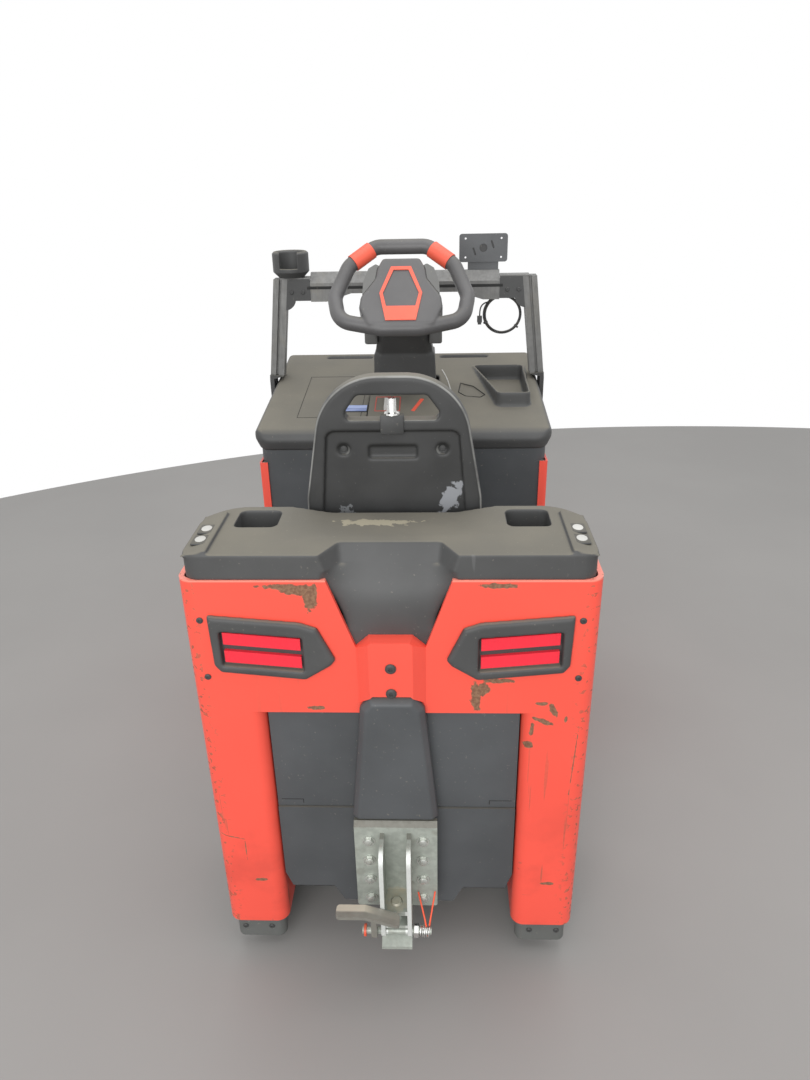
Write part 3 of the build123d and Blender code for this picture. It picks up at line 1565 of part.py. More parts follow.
# Steering fork: turntable, two legs and the drive wheel's axle
turntable_top = bridge_top - bridge_plate - fit
turntable_low = turntable_top - turntable_thick
leg_inner = drive_wheel_width / 2 + fork_gap
with BuildPart() as steer_fork:
    with BuildSketch(plan_view(turntable_low)):
        with Locations((0, drive_from_rear)):
            Circle(turntable_radius)
    extrude(amount=turntable_thick)
    with BuildSketch(plan_view(turntable_top)):
        with Locations((0, drive_from_rear)):
            Circle(kingpin_radius)
    extrude(amount=bridge_plate + 2 * fit)
    with BuildSketch(side_view(leg_inner)):
        Polygon(
            (drive_from_rear - fork_leg_depth / 2, turntable_low),
            (drive_from_rear - fork_leg_depth / 4, wheel_radius),
            (drive_from_rear + fork_leg_depth / 4, wheel_radius),
            (drive_from_rear + fork_leg_depth / 2, turntable_low),
            align=None,
        )
        with Locations((drive_from_rear, wheel_radius)):
            Circle(fork_leg_depth / 3)
    right_leg = extrude(amount=fork_leg)
    mirror(right_leg, about=Plane.YZ)
    with BuildSketch(side_view(-leg_inner)):
        with Locations((drive_from_rear, wheel_radius)):
            Circle(axle_radius)
    extrude(amount=2 * leg_inner)
steer_fork.part.label = "steer_fork"
export_step(steer_fork.part, "parts/steer_fork.step")

# Drive motor, standing on the fork's kingpin above the bridge
with BuildPart() as drive_motor:
    with BuildSketch(plan_view(bridge_top + fit)):
        with Locations((0, drive_from_rear)):
            Circle(motor_radius)
    extrude(amount=motor_height)
    chamfer(drive_motor.edges().filter_by(GeomType.CIRCLE).sort_by(Axis.Z)[-1], motor_edge)
drive_motor.part.label = "drive_motor"
export_step(drive_motor.part, "parts/drive_motor.step")


def tyre_section(width):
    """Half section of a solid tyre: local x is the radius, local y runs along the axle."""
    return [
        (rim_radius + fit / 2, -width / 2),
        (wheel_radius - shoulder_drop, -width / 2),
        (wheel_radius, -width / 2 + shoulder_width),
        (wheel_radius, width / 2 - shoulder_width),
        (wheel_radius - shoulder_drop, width / 2),
        (rim_radius + fit / 2, width / 2),
    ]


def rim_section(width):
    """Half section of a cast wheel centre with a dished web and a bored hub."""
    bore = axle_radius + bearing_gap
    return [
        (bore, -width / 2),
        (hub_radius, -width / 2),
        (hub_radius, -width / 5),
        (rim_radius - rim_lip, -width / 5),
        (rim_radius - rim_lip, -width / 2),
        (rim_radius, -width / 2),
        (rim_radius, width / 2),
        (rim_radius - rim_lip, width / 2),
        (rim_radius - rim_lip, width / 5),
        (hub_radius, width / 5),
        (hub_radius, width / 2),
        (bore, width / 2),
    ]


def turned_about_axle(section, x, distance):
    """Revolve a half section about an axle along X."""
    axle_plane = Plane(origin=(x, at(distance), wheel_radius), x_dir=(0, 0, 1), z_dir=(0, -1, 0))
    with BuildSketch(axle_plane) as half_section:
        Polygon(*section, align=None)
    revolve(half_section.sketch, axis=Axis((x, at(distance), wheel_radius), (1, 0, 0)))


# Wheels: a solid tyre and a cast centre each
wheel_places = {
    "rear_left": (-wheel_side, rear_axle_from_rear, wheel_width),
    "rear_right": (wheel_side, rear_axle_from_rear, wheel_width),
    "front": (0, drive_from_rear, drive_wheel_width),
}
for wheel_name, (wheel_x, wheel_distance, width) in wheel_places.items():
    with BuildPart() as tyre:
        turned_about_axle(tyre_section(width), wheel_x, wheel_distance)
    tyre.part.label = f"{wheel_name}_tyre"
    export_step(tyre.part, f"parts/{wheel_name}_tyre.step")
    with BuildPart() as wheel_centre_part:
        turned_about_axle(rim_section(width), wheel_x, wheel_distance)
    wheel_centre_part.part.label = f"{wheel_name}_rim"
    export_step(wheel_centre_part.part, f"parts/{wheel_name}_rim.step")

# Accessory bar: feet on the front body's sides, slotted posts, cross bar
post_lean = atan2(post_foot_x - post_top_x, post_top_z - post_foot_z)
post_length = hypot(post_foot_x - post_top_x, post_top_z - post_foot_z)
with BuildPart() as accessory_posts:
    for side in (-1, 1):
        post_axis = (-side * sin(post_lean), 0, cos(post_lean))
        post_plane = Plane(
            origin=(side * post_foot_x, at(post_from_rear), post_foot_z),
            x_dir=(0, 1, 0),
            z_dir=post_axis,
        )
        with BuildSketch(post_plane):
            Rectangle(post_size, post_size)
            slot_offset = post_size / 2 - post_slot_deep / 2
            with Locations((slot_offset, 0), (-slot_offset, 0)):
                Rectangle(post_slot_deep, post_slot, mode=Mode.SUBTRACT)
            with Locations((0, slot_offset), (0, -slot_offset)):
                Rectangle(post_slot, post_slot_deep, mode=Mode.SUBTRACT)
        extrude(amount=post_length + post_size)
    split(bisect_by=Plane.XY.offset(post_top_z), keep=Keep.BOTTOM)
accessory_posts.part.label = "accessory_posts"
export_step(accessory_posts.part, "parts/accessory_posts.step")


def post_inner(z):
    """X of the right post's inner face at a height."""
    return post_top_x + (post_top_z - z) * tan(post_lean) - post_size / 2 / cos(post_lean)


bar_rear = post_from_rear - bar_depth / 2
bar_top = bar_low + bar_face + bar_slope
foot_inner = hood_half + foot_gap
foot_outer = foot_inner + foot_plate
with BuildPart() as bar_brackets:
    # Feet: stand off the shell's sides and reach up past the hood to the posts
    with BuildSketch(rear_view(post_from_rear + foot_width / 2)):
        seat_half = post_size / 2 * cos(post_lean)
        seat_rise = post_size / 2 * sin(post_lean)
        Polygon(
            (front_half + fit, foot_low),
            (foot_outer, foot_low),
            (foot_outer, post_foot_z - foot_shoulder),
            (post_foot_x + seat_half, post_foot_z + seat_rise),
            (post_foot_x - seat_half, post_foot_z - seat_rise),
            (foot_inner, hood_surface(post_from_rear) + foot_hood_gap),
            (foot_inner, shell_top_z - foot_step),
            (front_half + fit, shell_top_z - foot_step),
            align=None,
        )
        mirror(about=Plane.YZ)
    extrude(amount=foot_width)
    # Corner plates from the bar's ends to the posts, with a curved gusset
    with BuildSketch(rear_view(bar_rear)):
        with BuildLine() as corner:
            top_line = Line((bar_half + fit, post_top_z), (post_inner(post_top_z), post_top_z))
            gusset_low = bracket_low - bracket_gusset
            post_line = Line(top_line @ 1, (post_inner(gusset_low), gusset_low))
            gusset_start = (post_inner(bracket_low) - bracket_gusset, bracket_low)
            RadiusArc(post_line @ 1, gusset_start, bracket_gusset * 1.2)
            low_line = Line(gusset_start, (bar_half + fit, bracket_low))
            Line(low_line @ 1, top_line @ 0)
        make_face()
        mirror(about=Plane.YZ)
    extrude(amount=-bracket_plate)
bar_brackets.part.label = "bar_brackets"
export_step(bar_brackets.part, "parts/bar_brackets.step")

with BuildPart() as accessory_bar:
    # Upright face and sloped top along the whole length
    with BuildSketch(side_view(-bar_half)):
        Polygon(
            (bar_rear, bar_low),
            (bar_rear + bar_depth, bar_low),
            (bar_rear + bar_depth, bar_top),
            (bar_rear + bar_slope, bar_top),
            (bar_rear, bar_low + bar_face),
            align=None,
        )
    extrude(amount=2 * bar_half)
    # Deeper ends of the face
    with BuildSketch(rear_view(bar_rear)):
        Polygon(
            (bar_half, bar_low),
            (bar_half - bar_end_length - bar_end_taper, bar_low),
            (bar_half - bar_end_length, bar_low - bar_end_deep),
            (bar_half, bar_low - bar_end_deep),
            align=None,
        )
        mirror(about=Plane.YZ)
    extrude(amount=-bracket_plate)
    # Top flanges over the posts
    with BuildSketch(plan_view(post_top_z)):
        for side in (-1, 1):
            with Locations((side * (bar_half + post_top_x) / 2, post_from_rear)):
                Rectangle(post_top_x - bar_half, bar_depth)
    extrude(amount=bar_flange)
    # Tapered gland for the cable on the underside
    gland_x = coil_x - coil_radius * 0.45
    gland_low = coil_z + (coil_radius + coil_thick) * 0.9 + gland_gap
    with BuildSketch(plan_view(bar_low)):
        with Locations((gland_x, post_from_rear)):
            Circle(gland_radius)
    with BuildSketch(plan_view(gland_low)):
        with Locations((gland_x, post_from_rear)):
            Circle(gland_tip_radius)
    loft()
accessory_bar.part.label = "accessory_bar"
export_step(accessory_bar.part, "parts/accessory_bar.step")

# Terminal carrier: bent bracket on the bar and an upright plate with screw holes
plate_from_rear = bar_rear + bar_slope + bracket_plate
terminal_middle = terminal_low + terminal_height / 2
with BuildPart() as terminal_plate:
    with BuildSketch(side_view(terminal_x - terminal_bracket_half)):
        Polygon(
            (plate_from_rear, bar_top),
            (bar_rear + bar_depth - fit, bar_top),
            (bar_rear + bar_depth - fit, bar_top + terminal_bracket),
            (plate_from_rear + terminal_bracket, bar_top + terminal_bracket),
            (plate_from_rear + terminal_bracket, terminal_low + terminal_lap),
            (plate_from_rear, terminal_low + terminal_lap),
            align=None,
        )
    extrude(amount=2 * terminal_bracket_half)
    with BuildSketch(rear_view(plate_from_rear)):
        with Locations((terminal_x, terminal_middle)):
            RectangleRounded(terminal_width, terminal_height, terminal_corner)
            with GridLocations(terminal_pitch_x, terminal_pitch_z, 2, 2):
                Circle(terminal_hole, mode=Mode.SUBTRACT)
            Circle(terminal_ring, mode=Mode.SUBTRACT)
            for start in (20, 200):
                with PolarLocations(terminal_slot_radius, 1, start):
                    SlotOverall(terminal_slot_length, terminal_slot_width, rotation=90, mode=Mode.SUBTRACT)
    extrude(amount=terminal_sheet)
terminal_plate.part.label = "terminal_plate"
export_step(terminal_plate.part, "parts/terminal_plate.step")

# Scanner holder on the left post's head: a thick cup, open towards the rear
with BuildPart() as scanner_cup:
    cup_low = post_top_z + bar_flange
    with BuildSketch(plan_view(cup_low)):
        with Locations((cup_x, post_from_rear)):
            Circle(cup_radius)
    extrude(amount=cup_height)
    chamfer(scanner_cup.edges().filter_by(GeomType.CIRCLE).sort_by(Axis.Z)[0], cup_foot_edge)
    with BuildSketch(plan_view(cup_low + cup_floor)):
        with Locations((cup_x, post_from_rear)):
            Circle(cup_bore)
    extrude(amount=cup_height, mode=Mode.SUBTRACT)
    with BuildSketch(plan_view(cup_low + cup_notch_low)):
        with Locations((cup_x, post_from_rear - cup_radius / 2)):
            Rectangle(2 * cup_notch_half, cup_radius)
    extrude(amount=cup_height, mode=Mode.SUBTRACT)
    chamfer(scanner_cup.edges().filter_by(GeomType.CIRCLE).group_by(Axis.Z)[-1], cup_prong_edge)
scanner_cup.part.label = "scanner_cup"
export_step(scanner_cup.part, "parts/scanner_cup.step")

# Cable tied in a ring under the bar, with a short thin lead and its connector
with BuildPart() as cable_coil:
    with BuildSketch(rear_view(post_from_rear)):
        with Locations((coil_x, coil_z)):
            Circle(coil_radius + coil_thick)
            Circle(coil_radius - coil_thick, mode=Mode.SUBTRACT)
    extrude(amount=coil_thick, both=True)
cable_coil.part.label = "cable_coil"
export_step(cable_coil.part, "parts/cable_coil.step")

lead_route = [
    (coil_x - 46, at(post_from_rear - 3), coil_z + 38),
    (coil_x - 54, at(post_from_rear - 9), coil_z + 33),
    (coil_x - 63, at(post_from_rear - 12), coil_z + 24),
    (coil_x - 66, at(post_from_rear - 13), coil_z + 10),
    (coil_x - 66, at(post_from_rear - 13), coil_z - 2),
]
lead_runs = [Vector(*end) - Vector(*start) for start, end in zip(lead_route, lead_route[1:])]
lead_radii = []
for before, after in zip(lead_runs, lead_runs[1:]):
    half_turn = radians(before.get_angle(after)) / 2
    lead_radii.append(0.45 * min(before.length, after.length) / tan(half_turn))
print("cable lead radii", [round(radius, 1) for radius in lead_radii])
with BuildPart() as cable_lead:
    with BuildLine() as lead_path:
        FilletPolyline(*lead_route, radius=lead_radii)
    with BuildSketch(Plane(origin=lead_path.line @ 0, z_dir=lead_path.line % 0)):
        RegularPolygon(cable_radius, 8)
    sweep(path=lead_path.line)
cable_lead.part.label = "cable_lead"
export_step(cable_lead.part, "parts/cable_lead.step")

with BuildPart() as cable_connector:
    connector_x, connector_y, connector_top = lead_route[-1]
    with BuildSketch(Plane.XY.offset(connector_top)):
        with Locations((connector_x, connector_y)):
            RectangleRounded(connector_width, connector_depth, connector_corner)
    extrude(amount=-connector_length)
    with BuildSketch(Plane.XY.offset(connector_top - connector_length)):
        with Locations((connector_x, connector_y)):
            Rectangle(plug_width, plug_depth)
    extrude(amount=-plug_length)
cable_connector.part.label = "cable_connector"
export_step(cable_connector.part, "parts/cable_connector.step")
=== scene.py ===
"""Looks of a stand-in electric tow tractor: finishes, soft parts, fasteners, cable and studio."""

import json
import math

import bmesh
import bpy
from bpy.props import FloatProperty, FloatVectorProperty, IntProperty, PointerProperty
from mathutils import Matrix, Vector


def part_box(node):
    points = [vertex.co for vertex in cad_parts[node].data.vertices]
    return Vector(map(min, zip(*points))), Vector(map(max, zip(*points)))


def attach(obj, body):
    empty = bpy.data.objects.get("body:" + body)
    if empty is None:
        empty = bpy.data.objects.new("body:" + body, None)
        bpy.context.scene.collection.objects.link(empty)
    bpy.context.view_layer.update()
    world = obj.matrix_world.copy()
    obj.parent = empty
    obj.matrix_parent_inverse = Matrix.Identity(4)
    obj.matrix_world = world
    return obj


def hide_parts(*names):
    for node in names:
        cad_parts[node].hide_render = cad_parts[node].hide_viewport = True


bl_info = {
    "name": "Stand-in Tow Tractor Looks",
    "version": (1, 0, 0),
    "blender": (4, 5, 0),
    "location": "3D View > Sidebar > Tow Tractor",
    "description": "Finishes, soft parts, fasteners and studio for a three-wheeled electric tow tractor",
    "category": "Object",
}

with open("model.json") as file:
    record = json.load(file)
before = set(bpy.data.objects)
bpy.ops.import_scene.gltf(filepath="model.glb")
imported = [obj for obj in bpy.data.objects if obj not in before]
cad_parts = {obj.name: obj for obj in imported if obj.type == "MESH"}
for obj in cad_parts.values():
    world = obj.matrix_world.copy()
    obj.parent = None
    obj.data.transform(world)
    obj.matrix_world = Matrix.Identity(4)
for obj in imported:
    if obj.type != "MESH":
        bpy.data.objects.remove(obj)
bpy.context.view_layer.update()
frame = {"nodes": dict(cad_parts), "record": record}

# The rear face of the rear plate, from which distances forwards are counted
REAR = -0.650


def spot(x, from_rear, z):
    """A point in the frame, given how far forwards of the rear plate it lies."""
    return Vector((x, REAR + from_rear, z))


# Settings that a user would change


def colour_setting(name, description, default):
    """A colour shown as a swatch."""
    return FloatVectorProperty(
        name=name, description=description, subtype="COLOR", size=3, min=0.0, max=1.0, default=default
    )


def length_setting(name, description, default):
    """A size in metres."""
    return FloatProperty(
        name=name, description=description, unit="LENGTH", min=0.0, precision=4, default=default
    )


class TractorColours(bpy.types.PropertyGroup):
    """Colours of the finishes"""

    paint: colour_setting("Paint", "Red of the painted steel", (0.97, 0.105, 0.068))
    wear: colour_setting("Wear", "Brown of scuffed paint", (0.17, 0.125, 0.070))
    plastic: colour_setting("Plastic", "Grey-black of the moulded covers", (0.066, 0.067, 0.067))
    dust: colour_setting("Dust", "Olive dust on surfaces that face up", (0.205, 0.190, 0.152))
    panel: colour_setting("Panel", "Dark grey of the flat panels", (0.074, 0.079, 0.084))
    zinc: colour_setting("Zinc", "Plated steel of the coupling", (0.40, 0.43, 0.385))
    aluminium: colour_setting("Aluminium", "Slotted profile", (0.19, 0.19, 0.185))
    rubber: colour_setting("Rubber", "Tyres, mat and feet", (0.042, 0.042, 0.043))
    wheel: colour_setting("Wheel", "Soft plastic of the steering wheel", (0.104, 0.102, 0.103))
    trim: colour_setting("Trim", "Orange-red of the wheel's trim", (0.93, 0.13, 0.075))
    lens: colour_setting("Lens", "Red of the tail lamps", (0.95, 0.018, 0.045))
    vinyl: colour_setting("Vinyl", "Covers of the pads", (0.030, 0.031, 0.033))


class TractorFasteners(bpy.types.PropertyGroup):
    """Sizes of bolts and screws"""

    bolt_head: length_setting("Bolt head", "Corner radius of a hexagon head", 0.0105)
    bolt_high: length_setting("Bolt height", "Height of a hexagon head", 0.0075)
    washer: length_setting("Washer", "Radius of a bolt's washer", 0.0135)
    washer_thick: length_setting("Washer thickness", "Thickness of a bolt's washer", 0.0025)
    screw_head: length_setting("Screw head", "Radius of a button head", 0.0065)
    boss_screw_head: length_setting("Boss screw head", "Radius of the boss's button heads", 0.0105)


class TractorCable(bpy.types.PropertyGroup):
    """The cable tied in a ring under the bar"""

    diameter: length_setting("Diameter", "Outer diameter of the cable", 0.004)
    ring: length_setting("Ring radius", "Middle of the ring's turns", 0.053)
    strand_gap: length_setting("Strand offset", "How far each turn lies from the ring's middle", 0.0029)
    turns: IntProperty(name="Turns", description="Turns in the ring", min=1, max=3, default=3)


class TractorPads(bpy.types.PropertyGroup):
    """Soft pads, blown up as cloth"""

    voxel: length_setting("Grid", "Size of the cloth's faces", 0.005)
    pressure: FloatProperty(name="Pressure", description="Pressure inside the pads", min=0.0, default=4.0)
    frames: IntProperty(name="Frames", description="Frames of simulation", min=2, max=60, default=20)
    travel: length_setting("Travel", "Furthest that a point may swell", 0.007)


class TractorStage(bpy.types.PropertyGroup):
    """Studio, lamps and camera"""

    floor: colour_setting("Floor", "Pale floor", (0.30, 0.293, 0.284))
    disc: length_setting("Disc", "Radius of the round floor", 7.0)
    middle: FloatVectorProperty(
        name="Middle", description="Middle of the round floor", subtype="XYZ", size=2, default=(1.607, -3.585)
    )
    sky: FloatProperty(name="Sky", description="Strength of the even light", min=0.0, default=0.74)
    lamp: FloatProperty(
        name="Lamp", description="Power of the lamp overhead", unit="POWER", min=0.0, default=72.0
    )
    behind: FloatProperty(
        name="Behind", description="Share of that power on the camera's side", min=0.0, default=1.55
    )
    lens: FloatProperty(name="Lens", description="Focal length", unit="CAMERA", min=1.0, default=26.667)
    camera: FloatVectorProperty(
        name="Camera",
        description="Place of the camera",
        subtype="TRANSLATION",
        default=(0.087, -1.9367, 1.6833),
    )
    yaw: FloatProperty(name="Yaw", description="Turn to the right", subtype="ANGLE", default=-0.0429)
    pitch: FloatProperty(name="Pitch", description="Tilt downwards", subtype="ANGLE", default=0.4432)
    roll: FloatProperty(name="Roll", description="Turn about the view", subtype="ANGLE", default=0.0212)


# Finishes


class Finish:
    """One material and the nodes that feed its shader."""

    def __init__(self, name, roughness, metallic=0.0):
        self.material = bpy.data.materials.new(name)
        self.material.use_nodes = True
        self.nodes = self.material.node_tree.nodes
        self.links = self.material.node_tree.links
        self.shader = self.nodes["Principled BSDF"]
        coordinates = self.nodes.new("ShaderNodeTexCoord")
        self.place = coordinates.outputs["Object"]
        self.facing = coordinates.outputs["Normal"]
        self.shader.inputs["Roughness"].default_value = roughness
        self.shader.inputs["Metallic"].default_value = metallic

    def feed(self, socket, value):
        """Link a socket's value, or set it."""
        if isinstance(value, bpy.types.NodeSocket):
            self.links.new(value, socket)
        elif socket.type == "RGBA":
            socket.default_value = (*value[:3], 1.0)
        else:
            socket.default_value = value

    def math(self, operation, first, second=0.0):
        """One sum of two values."""
        node = self.nodes.new("ShaderNodeMath")
        node.operation = operation
        self.feed(node.inputs[0], first)
        self.feed(node.inputs[1], second)
        return node.outputs[0]

    def times(self, first, second):
        """The product of two values."""
        return self.math("MULTIPLY", first, second)

    def noise(self, scale, detail=3.0, stretch=(1.0, 1.0, 1.0), distortion=0.0):
        """Cloudy values about a half, drawn out along an axis by a small stretch there."""
        mapping = self.nodes.new("ShaderNodeMapping")
        mapping.inputs["Scale"].default_value = stretch
        self.links.new(self.place, mapping.inputs["Vector"])
        node = self.nodes.new("ShaderNodeTexNoise")
        self.links.new(mapping.outputs["Vector"], node.inputs["Vector"])
        node.inputs["Scale"].default_value = scale
        node.inputs["Detail"].default_value = detail
        node.inputs["Distortion"].default_value = distortion
        return node.outputs[0]

    def cells(self, scale, feature="F1"):
        """Distances in a cell pattern, for grain."""
        node = self.nodes.new("ShaderNodeTexVoronoi")
        node.feature = feature
        self.links.new(self.place, node.inputs["Vector"])
        node.inputs["Scale"].default_value = scale
        return node.outputs["Distance"]

    def spread(self, value, low, high, to_low=0.0, to_high=1.0):
        """A smooth step of a value from one range to another."""
        node = self.nodes.new("ShaderNodeMapRange")
        node.interpolation_type = "SMOOTHSTEP"
        self.feed(node.inputs["Value"], value)
        for name, number in (("From Min", low), ("From Max", high), ("To Min", to_low), ("To Max", to_high)):
            node.inputs[name].default_value = number
        return node.outputs["Result"]

    def blend(self, amount, first, second):
        """Two colours mixed by an amount."""
        node = self.nodes.new("ShaderNodeMix")
        node.data_type = "RGBA"
        self.feed(node.inputs[0], amount)
        self.feed(node.inputs[6], first)
        self.feed(node.inputs[7], second)
        return node.outputs[2]

    def part_of(self, socket, axis):
        """One coordinate of a vector."""
        node = self.nodes.new("ShaderNodeSeparateXYZ")
        self.links.new(socket, node.inputs[0])
        return node.outputs[axis]

    def facing_up(self, low=0.62, high=0.96):
        """One where the surface faces up."""
        return self.spread(self.part_of(self.facing, "Z"), low, high)

    def below(self, low, high):
        """One under a height, nought above another."""
        return self.spread(self.part_of(self.place, "Z"), low, high, 1.0, 0.0)

    def patch(self, centre, half, turn=0.0, ragged=0.5, grain=45.0):
        """A ragged oval on the surface round a point."""
        mapping = self.nodes.new("ShaderNodeMapping")
        mapping.vector_type = "TEXTURE"
        mapping.inputs["Location"].default_value = centre
        mapping.inputs["Rotation"].default_value = (0.0, turn, 0.0)
        mapping.inputs["Scale"].default_value = half
        self.links.new(self.place, mapping.inputs["Vector"])
        length = self.nodes.new("ShaderNodeVectorMath")
        length.operation = "LENGTH"
        self.links.new(mapping.outputs["Vector"], length.inputs[0])
        rough = self.times(self.math("SUBTRACT", self.noise(grain, 7.0), 0.5), 2.0 * ragged)
        return self.spread(self.math("ADD", length.outputs["Value"], rough), 0.80, 0.96, 1.0, 0.0)

    def any_of(self, masks):
        """The strongest of several masks."""
        strongest = masks[0]
        for mask in masks[1:]:
            strongest = self.math("MAXIMUM", strongest, mask)
        return strongest

    def colour(self, value):
        """Feed the base colour."""
        self.feed(self.shader.inputs["Base Color"], value)

    def rough(self, value):
        """Feed the roughness."""
        self.feed(self.shader.inputs["Roughness"], value)

    def bump(self, height, distance, strength=1.0):
        """Raise the surface by a height, in metres."""
        node = self.nodes.new("ShaderNodeBump")
        node.inputs["Strength"].default_value = strength
        node.inputs["Distance"].default_value = distance
        self.feed(node.inputs["Height"], height)
        self.links.new(node.outputs["Normal"], self.shader.inputs["Normal"])


RESIDUE = (0.42, 0.38, 0.28)


def tinted(colour, share):
    """A colour made lighter or darker by a share."""
    return tuple(min(1.0, channel * share) for channel in colour)


# Scuffs on the rear plate: centre across and up, half width and height, turn
PLATE_SCUFFS = [
    ((-0.188, 0.976), (0.064, 0.007), 0.05),
    ((-0.172, 0.967), (0.034, 0.009), 0.0),
    ((-0.148, 0.950), (0.013, 0.034), 0.0),
    ((-0.138, 0.965), (0.006, 0.022), 0.0),
    ((0.199, 0.979), (0.036, 0.006), 0.0),
    ((0.164, 0.728), (0.012, 0.040), 0.0),
    ((0.176, 0.748), (0.014, 0.018), 0.3),
    ((0.205, 0.769), (0.034, 0.006), 0.0),
    ((-0.148, 0.703), (0.022, 0.005), 0.0),
    ((0.317, 0.699), (0.007, 0.020), -0.35),
    ((0.300, 0.672), (0.024, 0.006), 0.35),
    ((0.292, 0.716), (0.014, 0.004), 0.0),
    ((0.277, 0.650), (0.005, 0.019), 0.10),
    ((0.271, 0.611), (0.010, 0.010), 0.0),
    ((0.343, 0.679), (0.004, 0.009), 0.0),
    ((0.365, 0.566), (0.0012, 0.078), 0.05),
    ((-0.362, 0.356), (0.030, 0.0013), 0.25),
    ((-0.333, 0.320), (0.0013, 0.026), 0.0),
    ((-0.308, 0.227), (0.020, 0.005), 0.0),
    ((0.331, 0.226), (0.014, 0.005), 0.0),
]
SCUFF_DEEP = 0.03
# Heights over which the painted highlight along the plate's top edge fades in, and its pale red
PLATE_HIGHLIGHT = (0.9850, 0.9885)
HIGHLIGHT_RED = (1.0, 0.34, 0.26)


def red_paint(colours):
    """Semi-gloss red paint: a painted highlight along the top edge, brown scuffs, scratches low down, flecks
    at the rear corners.
    """
    made = Finish("red_paint", 0.36)
    paint = tuple(colours.paint)
    clouds = made.spread(made.noise(3.0, 4.0), 0.3, 0.7)
    base = made.blend(clouds, tinted(paint, 0.95), tinted(paint, 1.02))
    rub = made.times(made.below(0.16, 0.62), made.spread(made.noise(9.0, 6.0), 0.46, 0.70))
    base = made.blend(made.times(rub, 0.45), base, tinted(paint, 0.62))
    # Painted highlight: red at and above the plate's top edge is blended towards pale red
    top_highlight = made.spread(made.part_of(made.place, "Z"), *PLATE_HIGHLIGHT)
    base = made.blend(made.times(top_highlight, 0.8), base, HIGHLIGHT_RED)
    scratches = made.spread(made.noise(70.0, 2.0, (1.0, 1.0, 0.06)), 0.67, 0.71)
    scratches = made.times(scratches, made.below(0.15, 0.9))
    across = made.spread(made.noise(60.0, 2.0, (0.05, 1.0, 1.0)), 0.67, 0.71)
    scratches = made.math("MAXIMUM", scratches, made.times(across, made.below(0.1, 0.5)))
    scuffs = [
        made.patch((x, REAR, z), (half_x, SCUFF_DEEP, half_z), turn, 0.9, 75.0)
        for (x, z), (half_x, half_z), turn in PLATE_SCUFFS
    ]
    side = made.math("ABSOLUTE", made.part_of(made.place, "X"))
    corner = made.spread(made.part_of(made.place, "Y"), REAR + 0.015, REAR + 0.045, 1.0, 0.0)
    corner = made.times(made.spread(side, 0.345, 0.388), corner)
    flecks = made.times(corner, made.spread(made.noise(95.0, 3.0), 0.59, 0.65))
    scuffed = made.times(made.any_of(scuffs), 0.92)
    worn = made.any_of([scuffed, made.times(flecks, 0.7), made.times(scratches, 0.5)])
    mottles = made.spread(made.noise(160.0, 6.0), 0.35, 0.65)
    wear = made.blend(mottles, tinted(tuple(colours.wear), 0.65), tinted(tuple(colours.wear), 1.3))
    made.colour(made.blend(worn, base, wear))
    made.rough(made.spread(made.math("ADD", worn, made.times(rub, 0.5)), 0.0, 1.0, 0.34, 0.7))
    height = made.math("SUBTRACT", made.times(made.noise(260.0, 2.0), 0.15), worn)
    made.bump(height, 0.0004, 0.5)
    return made.material


def moulded(name, colour, dust, dusty, roughness=0.55, grain=900.0, residue=()):
    """Textured moulded plastic with dust on what faces up, pale rubs and any torn-off residue."""
    made = Finish(name, roughness)
    clouds = made.spread(made.noise(5.0, 5.0), 0.3, 0.72)
    base = made.blend(clouds, tinted(colour, 0.85), tinted(colour, 1.18))
    settle = made.times(made.facing_up(), made.spread(made.noise(7.0, 6.0), 0.25, 0.75, 0.72, 1.0))
    base = made.blend(made.times(settle, dusty), base, dust)
    specks = made.spread(made.noise(140.0, 5.0), 0.66, 0.74)
    base = made.blend(made.times(specks, 0.28), base, tinted(dust, 1.5))
    rubs = made.spread(made.noise(24.0, 4.0, (1.0, 1.0, 0.15), 0.6), 0.72, 0.78)
    base = made.blend(made.times(rubs, 0.25), base, tinted(colour, 3.0))
    for centre, half in residue:
        torn = made.patch(centre, half, 0.0, 1.3, 60.0)
        base = made.blend(made.times(torn, 0.8), base, RESIDUE)
    made.colour(base)
    made.rough(made.spread(settle, 0.0, 1.0, roughness, min(1.0, roughness + 0.25)))
    made.bump(made.noise(grain, 3.0), 0.0004, 0.35)
    return made.material


BRUSHED = (1.0, 1.0, 0.08)


def metal(name, colour, roughness, metallic, stain, stained):
    """Bare or plated metal with a brushed grain, mottles and stains."""
    made = Finish(name, roughness, metallic)
    mottles = made.spread(made.noise(55.0, 6.0), 0.3, 0.7)
    base = made.blend(mottles, tinted(colour, 0.92), tinted(colour, 1.06))
    stains = made.times(made.spread(made.noise(18.0, 6.0, distortion=0.8), 0.52, 0.72), stained)
    made.colour(made.blend(stains, base, stain))
    brushed = made.noise(220.0, 3.0, BRUSHED)
    made.rough(made.spread(brushed, 0.25, 0.75, roughness - 0.1, roughness + 0.15))
    made.bump(brushed, 0.0003, 0.3)
    return made.material


